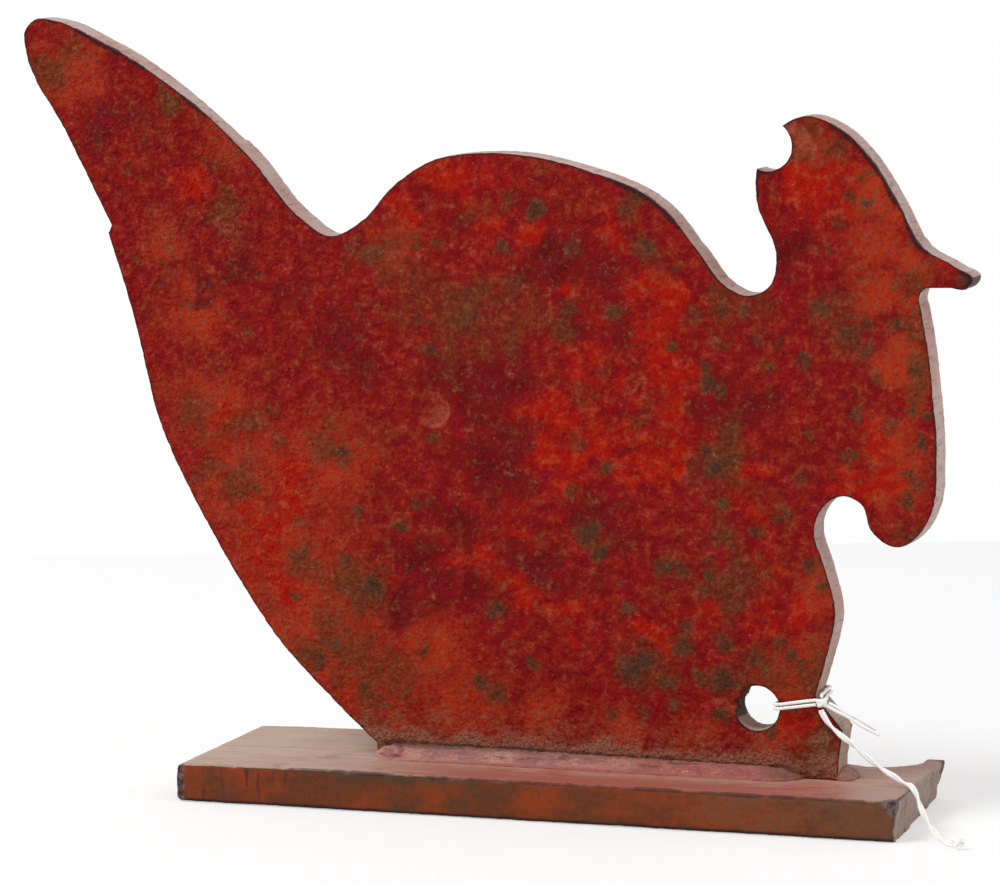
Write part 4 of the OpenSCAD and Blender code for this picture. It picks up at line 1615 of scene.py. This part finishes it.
    def wear(self, piece: bpy.types.Object, points: np.ndarray, gap: np.ndarray, out: np.ndarray,
             tones: dict[Tone, np.ndarray]) -> None:
        """Dents and pits the faces, roughens the wall, breaks the rim and adds the slag in the tie hole.

        Args:
            piece: The figure.
            points: Its points in metres.
            gap: Their distance to the rim.
            out: The outward direction at the rim, in x and z.
            tones: The paint's tones.
        """
        mm, y = points / MM, points[:, 1]
        low, high = y.min(), y.max()
        on_face = {Face.FRONT: y < low + TOUCH, Face.REAR: y > high - TOUCH}
        sunk = self.face_depth(mm, gap / MM, tones, on_face[Face.FRONT])
        worn = points.copy()
        for face, mask in on_face.items():
            worn[mask, 1] -= face.value * sunk[mask] * MM
        edge = np.minimum(y - low, high - y) / MM
        slip = (self.burr(mm) - self.wall_depth(mm, gap / MM, edge)) * MM
        worn[:, (0, 2)] += out * slip[:, None]
        move_points(piece, worn)

    def build(self) -> None:
        """Makes the figure and dresses it."""
        piece, loops = self.shell()
        points = points_of(piece)
        gap, out = self.rim_facts(points, loops)
        low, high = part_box(self.node)
        inset = np.minimum(points[:, 1] - low.y, high.y - points[:, 1])
        tones = self.paint(piece, points, np.where(inset > OFF_FACE, inset, gap))
        self.wear(piece, points, gap, out, tones)
        for finish in (RedPaint(), CutEdge()):
            piece.data.materials.append(finish.material())
        for face in piece.data.polygons:
            depths = [points[v, 1] for v in face.vertices]
            face.material_index = int(max(depths) - min(depths) > OFF_FACE)
        pick(piece)
        bpy.ops.object.shade_smooth_by_angle(angle=self.smooth_below)
        finish_piece(piece, self.node)


@dataclass
class Base:
    """The length of flat bar: dusty on top, nicked along its edges and flame-cut at its right end."""

    node: str = "base_plate"
    voxel: float = 0.9 * MM
    rounds: int = 2
    # The radius of the solid's left corners in millimetres, and the power that sharpens them
    corner: float = 3.0
    sharp: float = 6.0
    # How far the cut end slopes in under the bar, in millimetres
    undercut: float = 3.0

    def squared(self, mm: np.ndarray, low: np.ndarray, high: np.ndarray) -> np.ndarray:
        """Draws the two rounded left corners out to sharper ones, as a sawn bar has.

        Args:
            mm: The base's points in millimetres.
            low: The lowest corner of its box.
            high: The highest corner of its box.

        Returns:
            The points, moved.
        """
        moved = mm.copy()
        for y, way in ((low[1] + self.corner, -1.0), (high[1] - self.corner, 1.0)):
            across = low[0] + self.corner - mm[:, 0]
            along = way * (mm[:, 1] - y)
            inside = (across > 0) & (along > 0)
            span = np.hypot(across, along)[inside]
            power = (across[inside] / span) ** self.sharp + (along[inside] / span) ** self.sharp
            gain = power ** (-1 / self.sharp)
            moved[inside, 0] = low[0] + self.corner - across[inside] * gain
            moved[inside, 1] = y + way * along[inside] * gain
        return moved

    def rubbed(self, mm: np.ndarray, low: np.ndarray, high: np.ndarray) -> tuple[np.ndarray, np.ndarray]:
        """Says where the base's edges and corners are rubbed.

        Args:
            mm: The base's points in millimetres.
            low: The lowest corner of its box.
            high: The highest corner of its box.

        Returns:
            Two values from 0 to 1 for each point, one for the edges and one for the corners.
        """
        left, front, under = np.abs(mm - low).T
        right, _, top = np.abs(mm - high).T
        rims = [front + top, front + under, right + top, right + front, left + front]
        edge = fade(np.min(rims, axis=0), 2.2, 0.7)
        near_right = fade(np.linalg.norm(mm - (high[0], low[1], high[2]), axis=1), 7.0, 3.0)
        far_right = fade(np.linalg.norm(mm - high, axis=1), 8.0, 4.0)
        near_left = 0.9 * fade(np.hypot(left, front), 4.5, 1.5)
        return edge, np.maximum(np.maximum(near_right, far_right), near_left)

    def worn(self, mm: np.ndarray, normals: np.ndarray, edge: np.ndarray, low: np.ndarray,
             high: np.ndarray) -> np.ndarray:
        """Pits the bar, nicks its edges and drags and undercuts its flame-cut end, all inside its box.

        Args:
            mm: The base's points in millimetres.
            normals: The outward directions there.
            edge: How far each point lies on a rubbed edge.
            low: The lowest corner of its box.
            high: The highest corner of its box.

        Returns:
            The points in metres.
        """
        end = fade(mm[:, 0], high[0] - 5.0, high[0] - 2.5) * fade(normals[:, 0], 0.3, 0.7)
        drag = np.abs(cloud(mm * (0.2, 1, 0.15), 2.2, 3, 2.0)) * 0.8 + np.clip(cloud(mm, 4.5, 3, 5.0), 0, 1)
        sunk = 0.1 + 0.1 * cloud(mm, 18, 3, 1.0) + 0.08 * cloud(mm, 2.4, 2, 3.0) + end * drag
        sunk += edge * 0.7 * np.clip(cloud(mm, 3.2, 3, 8.0), 0, 1)
        points = (mm - normals * np.clip(sunk, 0.0, 1.6)[:, None]) * MM
        slope = self.undercut * (1 - mm[:, 2] / high[2]) * (mm[:, 1] - low[1]) / (high[1] - low[1])
        points[:, 0] -= slope * fade(mm[:, 0], high[0] - 14.0, high[0] - 3.0) * MM
        return np.clip(points, low * MM, high * MM)

    def build(self) -> None:
        """Makes the base, wears it and dresses it."""
        piece = cad_copy(self.node, "base_bar")
        remesh(piece, self.voxel, self.rounds)
        low, high = (np.array(v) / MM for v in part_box(self.node))
        mm = self.squared(points_of(piece) / MM, low, high)
        edge, corner = self.rubbed(mm, low, high)
        move_points(piece, self.worn(mm, normals_of(piece), edge, low, high))
        keep_values(piece, "edge", edge)
        keep_values(piece, "corner", corner)
        cover(piece, RustyBar().material())
        finish_piece(piece, self.node)


@dataclass
class Welds:
    """The three fillet welds: rippled, pitted, with a round crater where the front one was begun."""

    voxel: float = 0.42 * MM
    rounds: int = 1
    # How far a weld reaches into both plates, in metres
    melt: float = 0.9 * MM
    # In millimetres, the crater and the length from which a weld's ends are drawn down
    crater: Patch = (-52.0, 15.4, 4.4)
    crater_flat: float = 1.3
    long: float = 50.0
    toe_squash: float = 0.72

    def tapered(self, worn: np.ndarray, mm: np.ndarray, inward: np.ndarray, foot: float) -> np.ndarray:
        """Draws a long weld's two ends down, with an uneven last stretch.

        Args:
            worn: The weld's points in metres.
            mm: Its points before they were worn, in millimetres.
            inward: The direction in which the figure lies.
            foot: The weld's lowest height in metres.

        Returns:
            The points in metres.
        """
        x = mm[:, 0]
        first, last = x.min(), x.max()
        begun = 0.66 + 0.34 * fade(x - first, -1.0, 7.0)
        ended = 0.5 + 0.5 * fade(last - x, -2.0, 11.0)
        uneven = 1 + 0.22 * cloud(mm, 3.4, 2, 9.0) * fade(x, last - 22, last - 8)
        size = np.minimum(begun, ended) * uneven
        reach = worn @ inward
        drawn = worn + ((1 - size) * (reach.max() - reach))[:, None] * inward
        drawn[:, 2] = foot + size * (drawn[:, 2] - foot)
        return drawn

    def bead(self, node: str, inward: np.ndarray, squash: float, finish: bpy.types.Material) -> None:
        """Makes one weld from its CAD solid, lets it melt into both plates and dresses it.

        Args:
            node: The CAD node.
            inward: The direction in which the figure lies.
            squash: How far its height has sagged, where 1 is not at all.
            finish: The weld's material.
        """
        piece = cad_copy(node, f"{node}_bead")
        remesh(piece, self.voxel, self.rounds)
        points, normals = points_of(piece), normals_of(piece)
        mm = points / MM
        sunk = 0.12 + 0.3 * cloud(mm, 4, 3, 1.0) + 0.3 * np.clip(cloud(mm, 1.5, 2, 6.0), 0, 1)
        x, z, radius = self.crater
        away = np.hypot(mm[:, 0] - x, self.crater_flat * (mm[:, 2] - z)) / radius
        sunk += 0.25 * (np.cos(np.clip(away, 0, 1.5) * math.tau * 1.4) + 0.4) * fade(away, 1.4, 0.8)
        worn = points - normals * np.clip(sunk, -0.1, 0.7)[:, None] * MM
        foot = points[:, 2].min()
        worn[:, 2] = foot + squash * (worn[:, 2] - foot)
        if np.ptp(mm[:, 0]) > self.long:
            worn = self.tapered(worn, mm, inward, foot)
        for way in (inward, np.array((0.0, 0.0, -1.0))):
            worn += fade(normals @ way, 0.15, 0.7)[:, None] * way * self.melt
        move_points(piece, worn)
        keep_values(piece, "core", (0.5 + 0.5 * np.cos(away * math.tau * 1.5)) * fade(away, 1.4, 0.9))
        cover(piece, finish)
        finish_piece(piece, node)

    def build(self) -> None:
        """Makes the three welds."""
        finish = WeldMetal().material()
        for node, inward, squash in (("front_weld", (0.0, 1.0, 0.0), 1.0),
                                     ("rear_weld", (0.0, -1.0, 0.0), 1.0),
                                     ("toe_weld", (-1.0, 0.0, 0.0), self.toe_squash)):
            self.bead(node, np.array(inward), squash, finish)


def main() -> None:
    """Builds the studio, the string, the figure, the base and the welds."""
    logging.basicConfig(level=logging.INFO, format="%(name)s %(message)s")
    studio = Studio()
    studio.camera()
    TieString().build()
    Figure().build()
    Base().build()
    Welds().build()
    studio.build()


if __name__ == "__main__":
    main()
